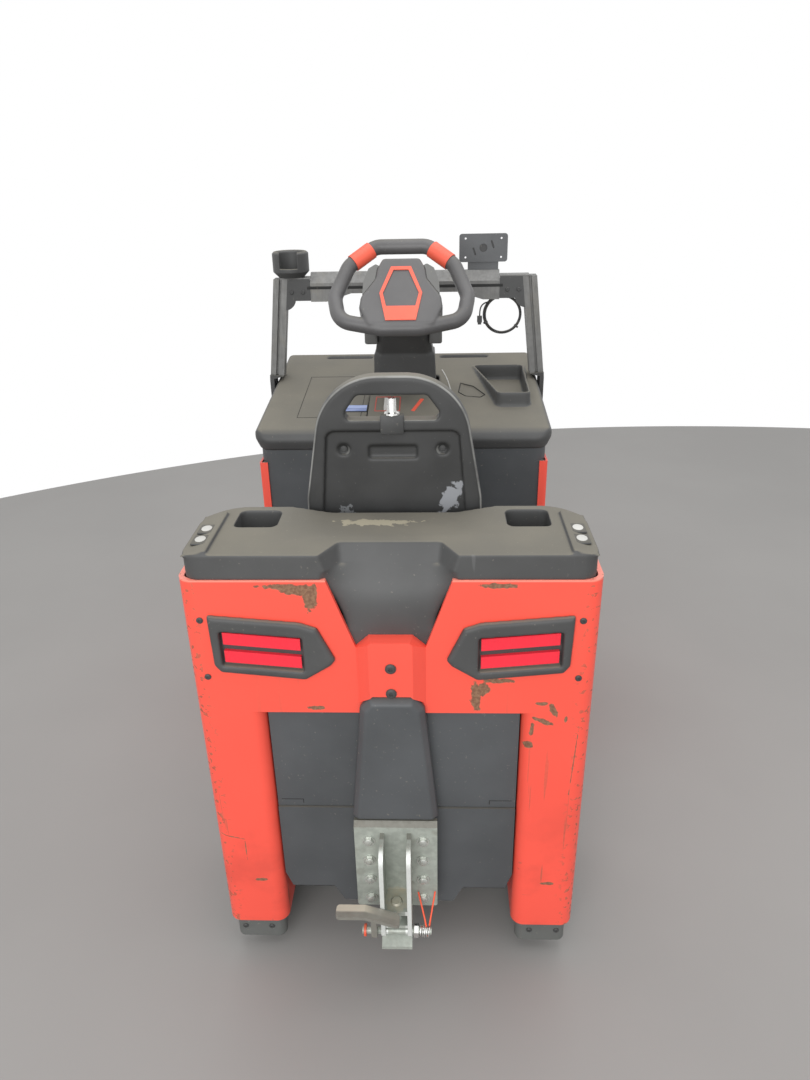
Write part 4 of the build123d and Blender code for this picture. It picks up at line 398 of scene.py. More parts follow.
def plated_steel(colours):
    """Dull grey-green plating: bright on the rear faces of the coupling's cheeks, brown in its corners."""
    made = Finish("zinc", 0.42, 0.25)
    zinc = tuple(colours.zinc)
    mottles = made.spread(made.noise(70.0, 6.0), 0.3, 0.7)
    base = made.blend(mottles, tinted(zinc, 0.88), tinted(zinc, 1.1))
    stains = made.times(made.spread(made.noise(26.0, 6.0, distortion=0.8), 0.55, 0.75), 0.4)
    base = made.blend(stains, base, (0.20, 0.18, 0.14))
    depth = made.part_of(made.place, "Y")
    across = made.part_of(made.place, "X")
    level = made.part_of(made.place, "Z")
    shelf = made.patch(spot(0.0, -0.052, 0.236), (0.030, 0.045, 0.010), 0.0, 0.6, 120.0)
    cream = made.times(shelf, made.spread(made.noise(90.0, 5.0), 0.3, 0.7, 0.3, 0.8))
    base = made.blend(cream, base, (0.46, 0.42, 0.32))
    ledge = made.times(made.facing_up(0.15, 0.4), made.spread(level, 0.395, 0.405))
    ledge = made.times(ledge, made.spread(depth, REAR - 0.050, REAR - 0.045))
    base = made.blend(made.times(ledge, 0.85), base, (0.125, 0.115, 0.095))
    pedal = made.spread(depth, REAR - 0.0985, REAR - 0.0975, 1.0, 0.0)
    base = made.blend(made.times(pedal, 0.75), base, (0.20, 0.18, 0.155))
    tread = made.times(pedal, made.spread(depth, REAR - 0.118, REAR - 0.112))
    tread = made.times(tread, made.spread(across, -0.070, -0.035, 1.0, 0.15))
    base = made.blend(made.times(tread, made.facing_up(0.45, 0.75)), base, (0.60, 0.55, 0.45))
    off_middle = made.math("ABSOLUTE", across)
    cheeks = made.times(made.spread(off_middle, 0.018, 0.020), made.spread(level, 0.150, 0.160))
    cheeks = made.times(cheeks, made.spread(off_middle, 0.033, 0.035, 1.0, 0.0))
    outer = made.times(made.spread(depth, REAR - 0.060, REAR - 0.045, 1.0, 0.0), cheeks)
    # The cheeks' rear-facing faces near the coupling's rear are blended towards near-white
    bright_rear_faces = made.spread(made.part_of(made.facing, "Y"), -0.6, -0.3, 1.0, 0.0)
    bright_rear_faces = made.times(made.times(outer, bright_rear_faces), made.spread(depth, REAR - 0.0978, REAR - 0.097))
    made.colour(made.blend(made.times(bright_rear_faces, 0.8), base, (0.80, 0.82, 0.80)))
    brushed = made.noise(220.0, 3.0, BRUSHED)
    made.rough(made.spread(brushed, 0.25, 0.75, 0.34, 0.55))
    made.bump(brushed, 0.0003, 0.3)
    return made.material


def rubber(name, colour, dust):
    """Dull black rubber with ground-in dust."""
    made = Finish(name, 0.8)
    dirt = made.spread(made.noise(30.0, 6.0), 0.42, 0.75)
    base = made.blend(made.times(dirt, 0.55), colour, dust)
    made.colour(made.blend(made.times(made.facing_up(), 0.35), base, dust))
    made.bump(made.noise(400.0, 4.0), 0.0005, 0.5)
    return made.material


def vinyl(name, colour):
    """Grained vinyl."""
    made = Finish(name, 0.5)
    clouds = made.spread(made.noise(14.0, 4.0), 0.3, 0.7)
    made.colour(made.blend(clouds, tinted(colour, 0.8), tinted(colour, 1.35)))
    creases = made.cells(420.0, "DISTANCE_TO_EDGE")
    made.bump(made.spread(creases, 0.0, 0.12), 0.0005, 0.6)
    made.rough(made.spread(made.noise(60.0, 4.0), 0.3, 0.7, 0.42, 0.6))
    return made.material


def lamp_lens(name, colour):
    """Glossy red lens with fine upright prisms behind its face."""
    made = Finish(name, 0.12)
    made.shader.inputs["Coat Weight"].default_value = 0.6
    made.shader.inputs["Coat Roughness"].default_value = 0.05
    prisms = made.nodes.new("ShaderNodeTexWave")
    prisms.inputs["Scale"].default_value = 55.0
    made.links.new(made.place, prisms.inputs["Vector"])
    prism = prisms.outputs["Fac"]
    made.colour(made.blend(made.times(prism, 0.12), colour, tinted(colour, 0.8)))
    made.bump(prism, 0.0004, 0.12)
    return made.material


def clear_lens(name):
    """Clear lamp glass, a little ribbed."""
    made = Finish(name, 0.06)
    made.shader.inputs["Transmission Weight"].default_value = 1.0
    made.colour(made.blend(made.noise(30.0, 2.0), (0.90, 0.92, 0.94), (0.98, 0.98, 0.98)))
    made.bump(made.noise(150.0, 2.0, (1.0, 1.0, 0.1)), 0.0006, 0.4)
    return made.material


def screen(name):
    """A display in two blues, with a paler band."""
    made = Finish(name, 0.2)
    band = made.spread(made.noise(60.0, 1.0, (0.15, 1.0, 1.0)), 0.45, 0.55)
    made.colour(made.blend(band, (0.13, 0.19, 0.42), (0.30, 0.38, 0.66)))
    return made.material


def backrest_plastic(colours):
    """The backrest's plastic: darker than the covers' plastic, partly as painted shade, its outer edge pale
    from wear and a painted highlight, with two patches of old adhesive.
    """
    made = Finish("backrest_plastic", 0.5)
    plastic = tuple(colours.plastic)
    # Partly painted shade: the base is a darker copy of the covers' plastic
    clouds = made.spread(made.noise(8.0, 5.0), 0.3, 0.7)
    base = made.blend(clouds, tinted(plastic, 0.38), tinted(plastic, 0.62))
    settle = made.times(made.facing_up(), 0.75)
    base = made.blend(settle, base, tuple(colours.dust))
    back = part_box("backrest_shell")[0].y
    torn = made.patch((0.118, back, 1.045), (0.020, 0.05, 0.048), 0.55, 0.9, 70.0)
    flakes = made.patch((-0.105, back, 1.000), (0.020, 0.05, 0.030), 0.3, 1.1, 120.0)
    specks = made.times(made.spread(made.noise(170.0, 4.0), 0.68, 0.75), 0.35)
    base = made.blend(specks, base, (0.2, 0.2, 0.19))
    # Pale outer rim, partly wear and partly painted highlight: where the rounded edge turns between
    # rear-facing and outward it is blended towards pale grey
    turn = made.part_of(made.facing, "Y")
    edge = made.times(made.spread(turn, -0.92, -0.70), made.spread(turn, -0.45, -0.25, 1.0, 0.0))
    aside = made.times(made.part_of(made.place, "X"), made.part_of(made.facing, "X"))
    above = made.math("SUBTRACT", made.part_of(made.place, "Z"), 1.12)
    outwards = made.math("ADD", aside, made.times(above, made.part_of(made.facing, "Z")))
    edge = made.times(edge, made.spread(outwards, 0.02, 0.06))
    edge = made.times(edge, made.spread(made.noise(16.0, 5.0), 0.3, 0.6, 0.25, 0.8))
    base = made.blend(edge, base, (0.30, 0.30, 0.285))
    base = made.blend(made.times(flakes, 0.7), base, (0.22, 0.23, 0.24))
    made.colour(made.blend(torn, base, (0.30, 0.31, 0.33)))
    made.rough(made.spread(torn, 0.0, 1.0, 0.5, 0.3))
    made.bump(made.math("ADD", made.times(made.noise(800.0, 3.0), 0.5), torn), 0.0004, 0.4)
    return made.material


FINISHES = {}
OWN_FINISH = {"leg_pads": "worn_pad", "terminal_plate": "plate_grey"}


def mix_finishes(colours):
    """Make every finish, named as the record's slots are, with the few that only new pieces use."""
    dust = tuple(colours.dust)
    plastic = tuple(colours.plastic)
    panel = tuple(colours.panel)
    FINISHES.update(
        red_paint=red_paint(colours),
        black_plastic=moulded(
            "black_plastic", plastic, dust, 0.85, residue=[(spot(-0.030, 0.165, 1.03), (0.082, 0.020, 0.03))]
        ),
        grey_panel=moulded("grey_panel", panel, tinted(dust, 1.1), 0.5, 0.5, 700.0),
        dark_steel=moulded("dark_steel", tinted(plastic, 0.8), dust, 0.4, 0.5, 500.0),
        cast_block=moulded("cast_block", tinted(panel, 0.9), dust, 0.3, 0.6, 250.0),
        zinc=plated_steel(colours),
        profile=metal("profile", tuple(colours.aluminium), 0.5, 0.4, dust, 0.3),
        tyre=rubber("tyre", tuple(colours.rubber), dust),
        wheel_centre=metal("wheel_centre", (0.20, 0.20, 0.20), 0.55, 0.3, (0.10, 0.09, 0.08), 0.6),
        rubber=rubber("rubber", tinted(tuple(colours.rubber), 1.3), tinted(dust, 0.9)),
        upholstery=vinyl("upholstery", tuple(colours.vinyl)),
        wheel_black=moulded("wheel_black", tuple(colours.wheel), tinted(dust, 0.9), 0.35, 0.42, 1200.0),
        wheel_grey=moulded("wheel_grey", (0.14, 0.14, 0.135), dust, 0.3, 0.5, 1200.0),
        trim_orange=moulded("trim_orange", tuple(colours.trim), tinted(tuple(colours.trim), 0.9), 0.2, 0.35),
        red_lens=lamp_lens("red_lens", tuple(colours.lens)),
        clear_lens=clear_lens("clear_lens"),
        backrest=backrest_plastic(colours),
        display=screen("display"),
        pale_key=moulded("pale_key", (0.62, 0.62, 0.60), (0.45, 0.43, 0.38), 0.3, 0.5),
        chrome=metal("chrome", (0.82, 0.82, 0.80), 0.22, 1.0, (0.5, 0.48, 0.44), 0.3),
        bolt_steel=metal("bolt_steel", (0.58, 0.60, 0.56), 0.34, 0.7, (0.22, 0.19, 0.14), 0.5),
        orange_wire=moulded("orange_wire", (0.80, 0.10, 0.04), (0.5, 0.2, 0.12), 0.4, 0.4),
        red_mark=moulded("red_mark", (0.60, 0.06, 0.045), dust, 0.3),
        worn_pad=moulded("worn_pad", (0.125, 0.130, 0.124), tinted(dust, 1.2), 0.7, 0.5, 300.0),
        plate_grey=moulded("plate_grey", (0.105, 0.110, 0.115), dust, 0.3, 0.5),
        # Dark seams and gaps, also used for the painted shade in the accessory bar's slot
        dark_gap=moulded("dark_gap", tinted(plastic, 0.3), dust, 0.1, 0.8),
    )


# Making pieces


def settled(thing, body, finish=None, smooth=30.0):
    """Finish a piece: its named finish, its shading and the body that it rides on."""
    if finish is not None:
        thing.data.materials.clear()
        thing.data.materials.append(FINISHES[finish])
    if thing.type == "MESH" and smooth:
        thing.data.shade_smooth()
        thing.data.set_sharp_from_angle(angle=math.radians(smooth))
    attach(thing, body)
    return thing


def placed(name, data):
    """A new object at the origin."""
    thing = bpy.data.objects.new(name, data)
    bpy.context.scene.collection.objects.link(thing)
    return thing


def mesh_of(shape):
    """Turn a bmesh into a mesh with its faces outwards."""
    bmesh.ops.recalc_face_normals(shape, faces=shape.faces)
    mesh = bpy.data.meshes.new("shape")
    shape.to_mesh(mesh)
    shape.free()
    return mesh


def baked(thing):
    """Apply every modifier of an object."""
    graph = bpy.context.evaluated_depsgraph_get()
    mesh = bpy.data.meshes.new_from_object(thing.evaluated_get(graph))
    thing.modifiers.clear()
    thing.data = mesh
    return thing


def joined(name, things):
    """Several mesh objects as one."""
    shape = bmesh.new()
    for thing in things:
        shape.from_mesh(thing.data)
        bpy.data.objects.remove(thing)
    mesh = bpy.data.meshes.new(name)
    shape.to_mesh(mesh)
    shape.free()
    return placed(name, mesh)


def copied(node, name):
    """A copy of a CAD node with its loose triangles merged."""
    mesh = frame["nodes"][node].data.copy()
    shape = bmesh.new()
    shape.from_mesh(mesh)
    bmesh.ops.remove_doubles(shape, verts=shape.verts, dist=1e-5)
    shape.to_mesh(mesh)
    shape.free()
    return placed(name, mesh)


MELT_ROUNDS = 500


def softened(
    node, name, voxel, rounds, slot="black_plastic", finish=None, body="chassis", cutters=(), melt=None
):
    """Stand in for a CAD node with the same form, its edges rounded as moulded plastic is.

    Cutters are taken out of it first, and what lies in the melt box is rounded far more."""
    thing = copied(node, name)
    for cutter in cutters:
        cut = thing.modifiers.new("Cut", "BOOLEAN")
        cut.operation = "DIFFERENCE"
        cut.object = cutter
    if cutters:
        baked(thing)
    for cutter in cutters:
        bpy.data.objects.remove(cutter)
    remesh = thing.modifiers.new("Grid", "REMESH")
    remesh.mode = "VOXEL"
    remesh.voxel_size = voxel
    smooth = thing.modifiers.new("Round", "SMOOTH")
    smooth.factor = 0.5
    smooth.iterations = rounds
    baked(thing)
    if melt:
        low, high = melt
        group = thing.vertex_groups.new(name="melt")
        for vertex in thing.data.vertices:
            if all(low[axis] < vertex.co[axis] < high[axis] for axis in range(3)):
                group.add([vertex.index], 1.0, "REPLACE")
        soften = thing.modifiers.new("Melt", "SMOOTH")
        soften.vertex_group = "melt"
        soften.factor = 0.5
        soften.iterations = MELT_ROUNDS
        baked(thing)
    settled(thing, body, finish or slot, 60.0)
    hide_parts(node)
    return thing


def block(name, low, high, bevel=0.001, segments=2):
    """A box between two corners with rounded edges."""
    shape = bmesh.new()
    middle = (Vector(low) + Vector(high)) / 2
    size = Vector(high) - Vector(low)
    bmesh.ops.create_cube(shape, size=1.0, matrix=Matrix.Translation(middle) @ Matrix.Diagonal((*size, 1.0)))
    thing = placed(name, mesh_of(shape))
    rounding = thing.modifiers.new("Edges", "BEVEL")
    rounding.width = bevel
    rounding.segments = segments
    return baked(thing)


def turned(name, profile, matrix, steps=32):
    """A shape turned about local Z from a profile of radius and height."""
    shape = bmesh.new()
    rings = []
    for radius, height in profile:
        ring = []
        for step in range(steps):
            angle = 2 * math.pi * step / steps
            point = Vector((radius * math.cos(angle), radius * math.sin(angle), height))
            ring.append(shape.verts.new(matrix @ point))
        rings.append(ring)
    for lower, upper in zip(rings, rings[1:]):
        for step in range(steps):
            after = (step + 1) % steps
            shape.faces.new((lower[step], lower[after], upper[after], upper[step]))
    shape.faces.new(list(reversed(rings[0])))
    shape.faces.new(rings[-1])
    return placed(name, mesh_of(shape))


def hood_level(from_rear):
    """Height of the hood's sloping top."""
    return 1.0570 + 0.1130 * (from_rear - 0.715)


def dash_level(from_rear):
    """Height of the dash panel's sloping top."""
    return 1.0572 + 0.1895 * (from_rear - 0.752)


def strip(start, end, width):
    """The outline of a straight strip between two points, across and forwards of the rear plate."""
    start, end = Vector(start), Vector(end)
    along = (end - start).normalized()
    aside = Vector((-along.y, along.x)) * width / 2
    return [start - aside, end - aside, end + aside, start + aside]


def inlay(name, outline, level, rise, sink=0.001):
    """A thin piece let into a sloping top, from its outline across and forwards of the rear plate."""
    shape = bmesh.new()
    upper = [shape.verts.new(spot(x, from_rear, level(from_rear) + rise)) for x, from_rear in outline]
    lower = [shape.verts.new(spot(x, from_rear, level(from_rear) - sink)) for x, from_rear in outline]
    shape.faces.new(upper)
    shape.faces.new(list(reversed(lower)))
    for step in range(len(outline)):
        after = (step + 1) % len(outline)
        shape.faces.new((lower[step], lower[after], upper[after], upper[step]))
    return placed(name, mesh_of(shape))


def frame_of(name, x, from_rear, width, level, rise):
    """A thin rectangular outline let into a sloping top."""
    corners = [(x[0], from_rear[0]), (x[1], from_rear[0]), (x[1], from_rear[1]), (x[0], from_rear[1])]
    sides = zip(corners, [*corners[1:], corners[0]])
    return joined(name, [inlay("side", strip(start, end, width), level, rise) for start, end in sides])


def wire(name, points, radius, closed=False):
    """A round wire along a smooth line through given points."""
    curve = bpy.data.curves.new(name, "CURVE")
    curve.dimensions = "3D"
    spline = curve.splines.new("NURBS")
    spline.points.add(len(points) - 1)
    for point, place in zip(spline.points, points):
        point.co = (*place, 1.0)
    spline.order_u = 3
    spline.use_endpoint_u = not closed
    spline.use_cyclic_u = closed
    curve.bevel_depth = radius
    curve.bevel_resolution = 4
    curve.resolution_u = 6
    curve.use_fill_caps = True
    return placed(name, curve)


def meshed(thing):
    """Turn a curve into a mesh."""
    name = thing.name
    graph = bpy.context.evaluated_depsgraph_get()
    mesh = bpy.data.meshes.new_from_object(thing.evaluated_get(graph))
    bpy.data.objects.remove(thing)
    return placed(name, mesh)


# Patterns of repeated pieces


class Pattern:
    """A tree of Geometry Nodes with named inputs that ends in plain geometry with one finish."""

    def __init__(self, name, **kinds):
        self.tree = bpy.data.node_groups.new(name, "GeometryNodeTree")
        self.tree.interface.new_socket("Geometry", in_out="INPUT", socket_type="NodeSocketGeometry")
        for label, kind in {**kinds, "Finish": "Material"}.items():
            self.tree.interface.new_socket(label, in_out="INPUT", socket_type=f"NodeSocket{kind}")
        self.tree.interface.new_socket("Geometry", in_out="OUTPUT", socket_type="NodeSocketGeometry")
        self.given = self.tree.nodes.new("NodeGroupInput").outputs

    def node(self, kind, settings=None, **sockets):
        """A node with its sockets fed by other nodes' outputs or by values."""
        made = self.tree.nodes.new(f"GeometryNode{kind}" if not kind.startswith("Shader") else kind)
        for key, value in (settings or {}).items():
            setattr(made, key, value)
        for label, value in sockets.items():
            socket = made.inputs[label.replace("_", " ")]
            for source in value if isinstance(value, list) else [value]:
                if isinstance(source, bpy.types.NodeSocket):
                    self.tree.links.new(source, socket)
                else:
                    socket.default_value = source
        return made.outputs[0]

    def moved(self, geometry, along):
        """Geometry shifted up its own axis by a value."""
        place = self.node("ShaderNodeCombineXYZ", Z=along)
        return self.node("Transform", Geometry=geometry, Translation=place)

    def part(self, value, share=0.5):
        """A share of a value."""
        made = self.tree.nodes.new("ShaderNodeMath")
        made.operation = "MULTIPLY"
        self.tree.links.new(value, made.inputs[0])
        made.inputs[1].default_value = share
        return made.outputs[0]

    def finish(self, piece):
        """End the tree: the piece at every point, turned one way, as real geometry with its finish."""
        points, turn = self.given["Geometry"], self.given["Turn"]
        set_out = self.node("InstanceOnPoints", Points=points, Instance=piece, Rotation=turn)
        real = self.node("RealizeInstances", Geometry=set_out)
        dressed = self.node("SetMaterial", Geometry=real, Material=self.given["Finish"])
        self.tree.links.new(dressed, self.tree.nodes.new("NodeGroupOutput").inputs["Geometry"])
        return self.tree


def grown(name, tree, points, values):
    """Run a pattern on a set of points and keep the result as a plain mesh."""
    mesh = bpy.data.meshes.new(name)
    mesh.from_pydata([tuple(point) for point in points], [], [])
    thing = placed(name, mesh)
    modifier = thing.modifiers.new("Pattern", "NODES")
    modifier.node_group = tree
    for item in tree.interface.items_tree:
        if item.in_out == "INPUT" and item.name in values:
            modifier[item.identifier] = values[item.name]
    return baked(thing)


def hexagon_bolts():
    """Hexagon heads on round washers."""
    tree = Pattern("hexagon_bolts", Head="Float", High="Float", Washer="Float", Thick="Float", Turn="Vector")
    head = tree.node("MeshCylinder", Vertices=6, Radius=tree.given["Head"], Depth=tree.given["High"])
    head = tree.moved(head, tree.part(tree.given["High"]))
    crown = tree.node(
        "MeshCone",
        Vertices=18,
        Radius_Top=tree.part(tree.given["Head"], 0.62),
        Radius_Bottom=tree.part(tree.given["Head"], 0.84),
        Depth=tree.part(tree.given["High"], 0.16),
    )
    crown = tree.moved(crown, tree.given["High"])
    washer = tree.node("MeshCylinder", Vertices=28, Radius=tree.given["Washer"], Depth=tree.given["Thick"])
    washer = tree.moved(washer, tree.part(tree.given["Thick"]))
    bolt = tree.node("JoinGeometry", Geometry=[head, crown, washer])
    return tree.finish(bolt)


def button_screws():
    """Button heads with a hexagon socket."""
    tree = Pattern("button_screws", Head="Float", Turn="Vector")
    head = tree.given["Head"]
    foot = tree.node("MeshCylinder", Vertices=24, Radius=head, Depth=tree.part(head, 0.3))
    foot = tree.moved(foot, tree.part(head, 0.15))
    dome = tree.node(
        "MeshCone",
        Vertices=24,
        Radius_Top=tree.part(head, 0.66),
        Radius_Bottom=tree.part(head, 0.97),
        Depth=tree.part(head, 0.25),
    )
    dome = tree.moved(dome, tree.part(head, 0.28))
    socket = tree.node("MeshCylinder", Vertices=6, Radius=tree.part(head, 0.4), Depth=tree.part(head, 0.5))
    socket = tree.moved(socket, tree.part(head, 0.46))
    drilled = tree.tree.nodes.new("GeometryNodeMeshBoolean")
    drilled.operation = "DIFFERENCE"
    tree.tree.links.new(dome, drilled.inputs["Mesh 1"])
    tree.tree.links.new(socket, drilled.inputs["Mesh 2"])
    screw = tree.node("JoinGeometry", Geometry=[foot, drilled.outputs["Mesh"]])
    return tree.finish(screw)


def raised_ribs():
    """Plain ribs."""
    tree = Pattern("raised_ribs", Size="Vector", Turn="Vector")
    bar = tree.node("MeshCube", Size=tree.given["Size"])
    return tree.finish(bar)


def wound_wire():
    """A close-wound coil of wire along local Z."""
    tree = Pattern("wound_wire", Turns="Float", Radius="Float", Length="Float", Wire="Float", Turn="Vector")
    spiral = tree.node(
        "CurveSpiral",
        Resolution=20,
        Rotations=tree.given["Turns"],
        Start_Radius=tree.given["Radius"],
        End_Radius=tree.given["Radius"],
        Height=tree.given["Length"],
    )
    section = tree.node("CurvePrimitiveCircle", Resolution=10, Radius=tree.given["Wire"])
    coil = tree.node("CurveToMesh", Curve=spiral, Profile_Curve=section, Fill_Caps=True)
    return tree.finish(coil)


FACING_REAR = (math.pi / 2, 0.0, 0.0)


# Operators


class TRACTOR_OT_finishes(bpy.types.Operator):
    """Mix the finishes and give every CAD piece its own"""

    bl_idname = "tractor.finishes"
    bl_label = "Finishes"

    def execute(self, context):
        mix_finishes(context.scene.tractor_colours)
        for row in frame["record"]["subparts"]:
            node = frame["nodes"][row["node"]]
            node.data.materials.clear()
            node.data.materials.append(FINISHES[OWN_FINISH.get(row["node"], row["material_slot"])])
        return {"FINISHED"}


class TRACTOR_OT_mouldings(bpy.types.Operator):
    """Round the edges of the moulded covers"""

    bl_idname = "tractor.mouldings"
    bl_label = "Mouldings"
    scoop_outline = [
        (0.152, 0.955), (0.172, 0.925), (0.212, 0.916), (0.226, 0.935), (0.196, 1.000), (0.160, 1.026),
    ]

    def execute(self, context):
        softened("hood", "hood_cap", 0.0045, 4, cutters=self.hood_cuts())
        dip = (spot(-0.125, -0.040, 0.875), spot(0.125, 0.080, 1.005))
        softened("rear_top_cover", "top_cover", 0.0035, 4, melt=dip)
        softened("steering_column", "column_cover", 0.0035, 6)
        softened("backrest_shell", "backrest_back", 0.0028, 4, finish="backrest")
        softened("tail_lamp_bezels", "lamp_bezels", 0.0024, 9)
        softened("scanner_cup", "scanner_holder", 0.0014, 3)
        softened("steering_wheel", "hand_wheel", 0.0025, 8, "wheel_black", body="steering_wheel")
        softened("coupling_cover", "hitch_cover", 0.0028, 4, "grey_panel")
        self.hood_lines()
        self.panel_marks()
        return {"FINISHED"}

    def hood_cuts(self):
        """The slots along the hood's front and the finger scoop beside its tray."""
        slots = [((-0.258, 1.262), (-0.112, 1.262)), ((0.100, 1.262), (0.253, 1.262))]
        cuts = [inlay("slot", strip(start, end, 0.024), hood_level, 0.02, 0.010) for start, end in slots]
        return [*cuts, inlay("scoop", self.scoop_outline, hood_level, 0.02, 0.005)]

    def panel_marks(self):
        """The notched lines at both sides of the panel behind the coupling."""
        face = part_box("rear_upper_panel")[0].y
        lines = []
        for side in (-1, 1):
            end = side * 0.199
            left, right = sorted((end, side * 0.246))
            for low_x, high_x, foot in ((left, right, 0.4478), (end - 0.0008, end + 0.0008, 0.438)):
                low, high = (low_x, face - 0.0005, foot), (high_x, face + 0.002, 0.4492)
                lines.append(block("line", low, high, 0.0002))
        settled(joined("panel_marks", lines), "chassis", "dark_gap")

    def hood_lines(self):
        """The seams of the lid beside the dash and a pale line along the edge beside the column, a worn edge
        with a painted highlight.
        """
        lid = frame_of("lid_seam", (-0.285, -0.114), (0.782, 1.086), 0.0014, hood_level, 0.0005)
        settled(lid, "chassis", "dark_gap")
        edges = zip(self.scoop_outline, [*self.scoop_outline[1:], self.scoop_outline[0]])
        lines = [inlay("line", strip(start, end, 0.0022), hood_level, 0.0003) for start, end in edges]
        settled(joined("scoop_line", lines), "chassis", "dark_gap")
        # A pale line along the cutout's edge beside the column: a worn edge with a painted highlight on it
        worn_highlit_line = [(0.107, 1.136), (0.118, 1.084), (0.126, 1.018), (0.133, 0.941)]
        points = [spot(x, from_rear, hood_level(from_rear) + 0.0005) for x, from_rear in worn_highlit_line]
        settled(meshed(wire("bare_edge", points, 0.0016)), "chassis", "pale_key")


class TRACTOR_OT_fasteners(bpy.types.Operator):
    """Set bolts in the coupling and screws in the plates"""

    bl_idname = "tractor.fasteners"
    bl_label = "Fasteners"

    def execute(self, context):
        sizes = context.scene.tractor_fasteners
        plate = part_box("coupling_plate")[0].y
        bolts = [Vector((x, plate, z)) for x in (-0.0575, 0.0575) for z in (0.213, 0.269, 0.325, 0.380)]
        values = {
            "Head": sizes.bolt_head,
            "High": sizes.bolt_high,
            "Washer": sizes.washer,
            "Thick": sizes.washer_thick,
            "Turn": FACING_REAR,
            "Finish": FINISHES["bolt_steel"],
        }
        settled(grown("coupling_bolts", hexagon_bolts(), bolts, values), "chassis")
        screws = button_screws()
        dark = {"Turn": FACING_REAR, "Finish": FINISHES["dark_steel"]}
        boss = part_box("rear_frame")[0].y
        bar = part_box("accessory_bar")[0].y
        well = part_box("backrest_shell")[0].y + 0.017
        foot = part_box("leg_pads")[0].y
        places = {
            "plate_screws": [(x, REAR, z) for x in (-0.360, 0.360) for z in (0.777, 0.905)],
            "boss_screws": [(0.0, boss, z) for z in (0.755, 0.812)],
            "bracket_screws": [(side * x, bar, 1.349) for side in (-1, 1) for x in (0.290, 0.322)],
            "backrest_screws": [(x, well, 1.152) for x in (-0.101, 0.101)],
            "foot_screws": [(side * x, foot, 0.066) for side in (-1, 1) for x in (0.300, 0.362)],
        }
        for name, points in places.items():
            head = sizes.boss_screw_head if name == "boss_screws" else sizes.screw_head
            settled(grown(name, screws, points, {**dark, "Head": head}), "chassis")
        self.wheel_bolts(values)
        return {"FINISHED"}

    def wheel_bolts(self, values):
        """Five bolts in the outer face of each rear wheel."""
        for side, body in ((-1, "wheel_left"), (1, "wheel_right")):
            name = "rear_left" if side < 0 else "rear_right"
            low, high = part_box(f"{name}_rim")
            axle = (low + high) / 2
            web = axle.x + side * (high.x - low.x) / 5
            ring = []
            for step in range(5):
                angle = math.pi / 2 + 2 * math.pi * step / 5
                ring.append(Vector((web, axle.y + 0.058 * math.cos(angle), axle.z + 0.058 * math.sin(angle))))
            turn = {**values, "Turn": (0.0, side * math.pi / 2, 0.0)}
            settled(grown(f"{name}_bolts", hexagon_bolts(), ring, turn), body)


class TRACTOR_OT_lever_spring(bpy.types.Operator):
    """Wind the return spring of the foot lever, with its nut, washer and two orange ties"""

    bl_idname = "tractor.lever_spring"
    bl_label = "Lever spring"

    def execute(self, context):
        shaft = (-0.082, 0.172)
        values = {
            "Turns": 5.0,
            "Radius": 0.0115,
            "Length": 0.022,
            "Wire": 0.0017,
            "Turn": (0.0, math.pi / 2, 0.0),
            "Finish": FINISHES["chrome"],
        }
        settled(grown("lever_spring", wound_wire(), [spot(0.050, *shaft)], values), "chassis")
        along = Matrix.Rotation(math.pi / 2, 4, "Y")
        nut = turned("lever_nut", [(0.0135, 0.0), (0.0145, 0.001), (0.0145, 0.010), (0.0135, 0.011)],
                     Matrix.Translation(spot(0.0365, *shaft)) @ along, 6)
        settled(nut, "chassis", "chrome")
        washer = turned("lever_washer", [(0.0130, 0.0), (0.0130, 0.005)],
                        Matrix.Translation(spot(-0.071, *shaft)) @ along)
        settled(washer, "chassis", "orange_wire")
        routes = {
            "spring_tie_inner": [
                (0.065, -0.084, 0.158), (0.064, -0.080, 0.184),
                (0.056, -0.060, 0.208), (0.046, -0.034, 0.234),
            ],
            "spring_tie_outer": [
                (0.068, -0.084, 0.158), (0.070, -0.080, 0.184),
                (0.076, -0.060, 0.210), (0.083, -0.034, 0.236),
            ],
        }
        for name, route in routes.items():
            tie = meshed(wire(name, [spot(*point) for point in route], 0.0019))
            settled(tie, "chassis", "orange_wire")
        return {"FINISHED"}


class TRACTOR_OT_latch(bpy.types.Operator):
    """Fit the latch tab and its bright pin in the backrest's slot"""

    bl_idname = "tractor.latch"
    bl_label = "Backrest latch"

    def execute(self, context):
        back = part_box("backrest_shell")[0].y
        tab = block("latch_tab", (-0.024, back - 0.004, 1.188), (0.024, back + 0.012, 1.228), 0.003)
        settled(tab, "chassis", "dark_steel")
        pin_foot = Matrix.Translation((0.0, back + 0.004, 1.227))
        profile = [
            (0.0145, 0.0), (0.0155, 0.0015), (0.0150, 0.005), (0.0095, 0.007), (0.0088, 0.009),
            (0.0088, 0.031), (0.0078, 0.034),
        ]
        settled(turned("latch_pin", profile, pin_foot), "chassis", "chrome")
        return {"FINISHED"}


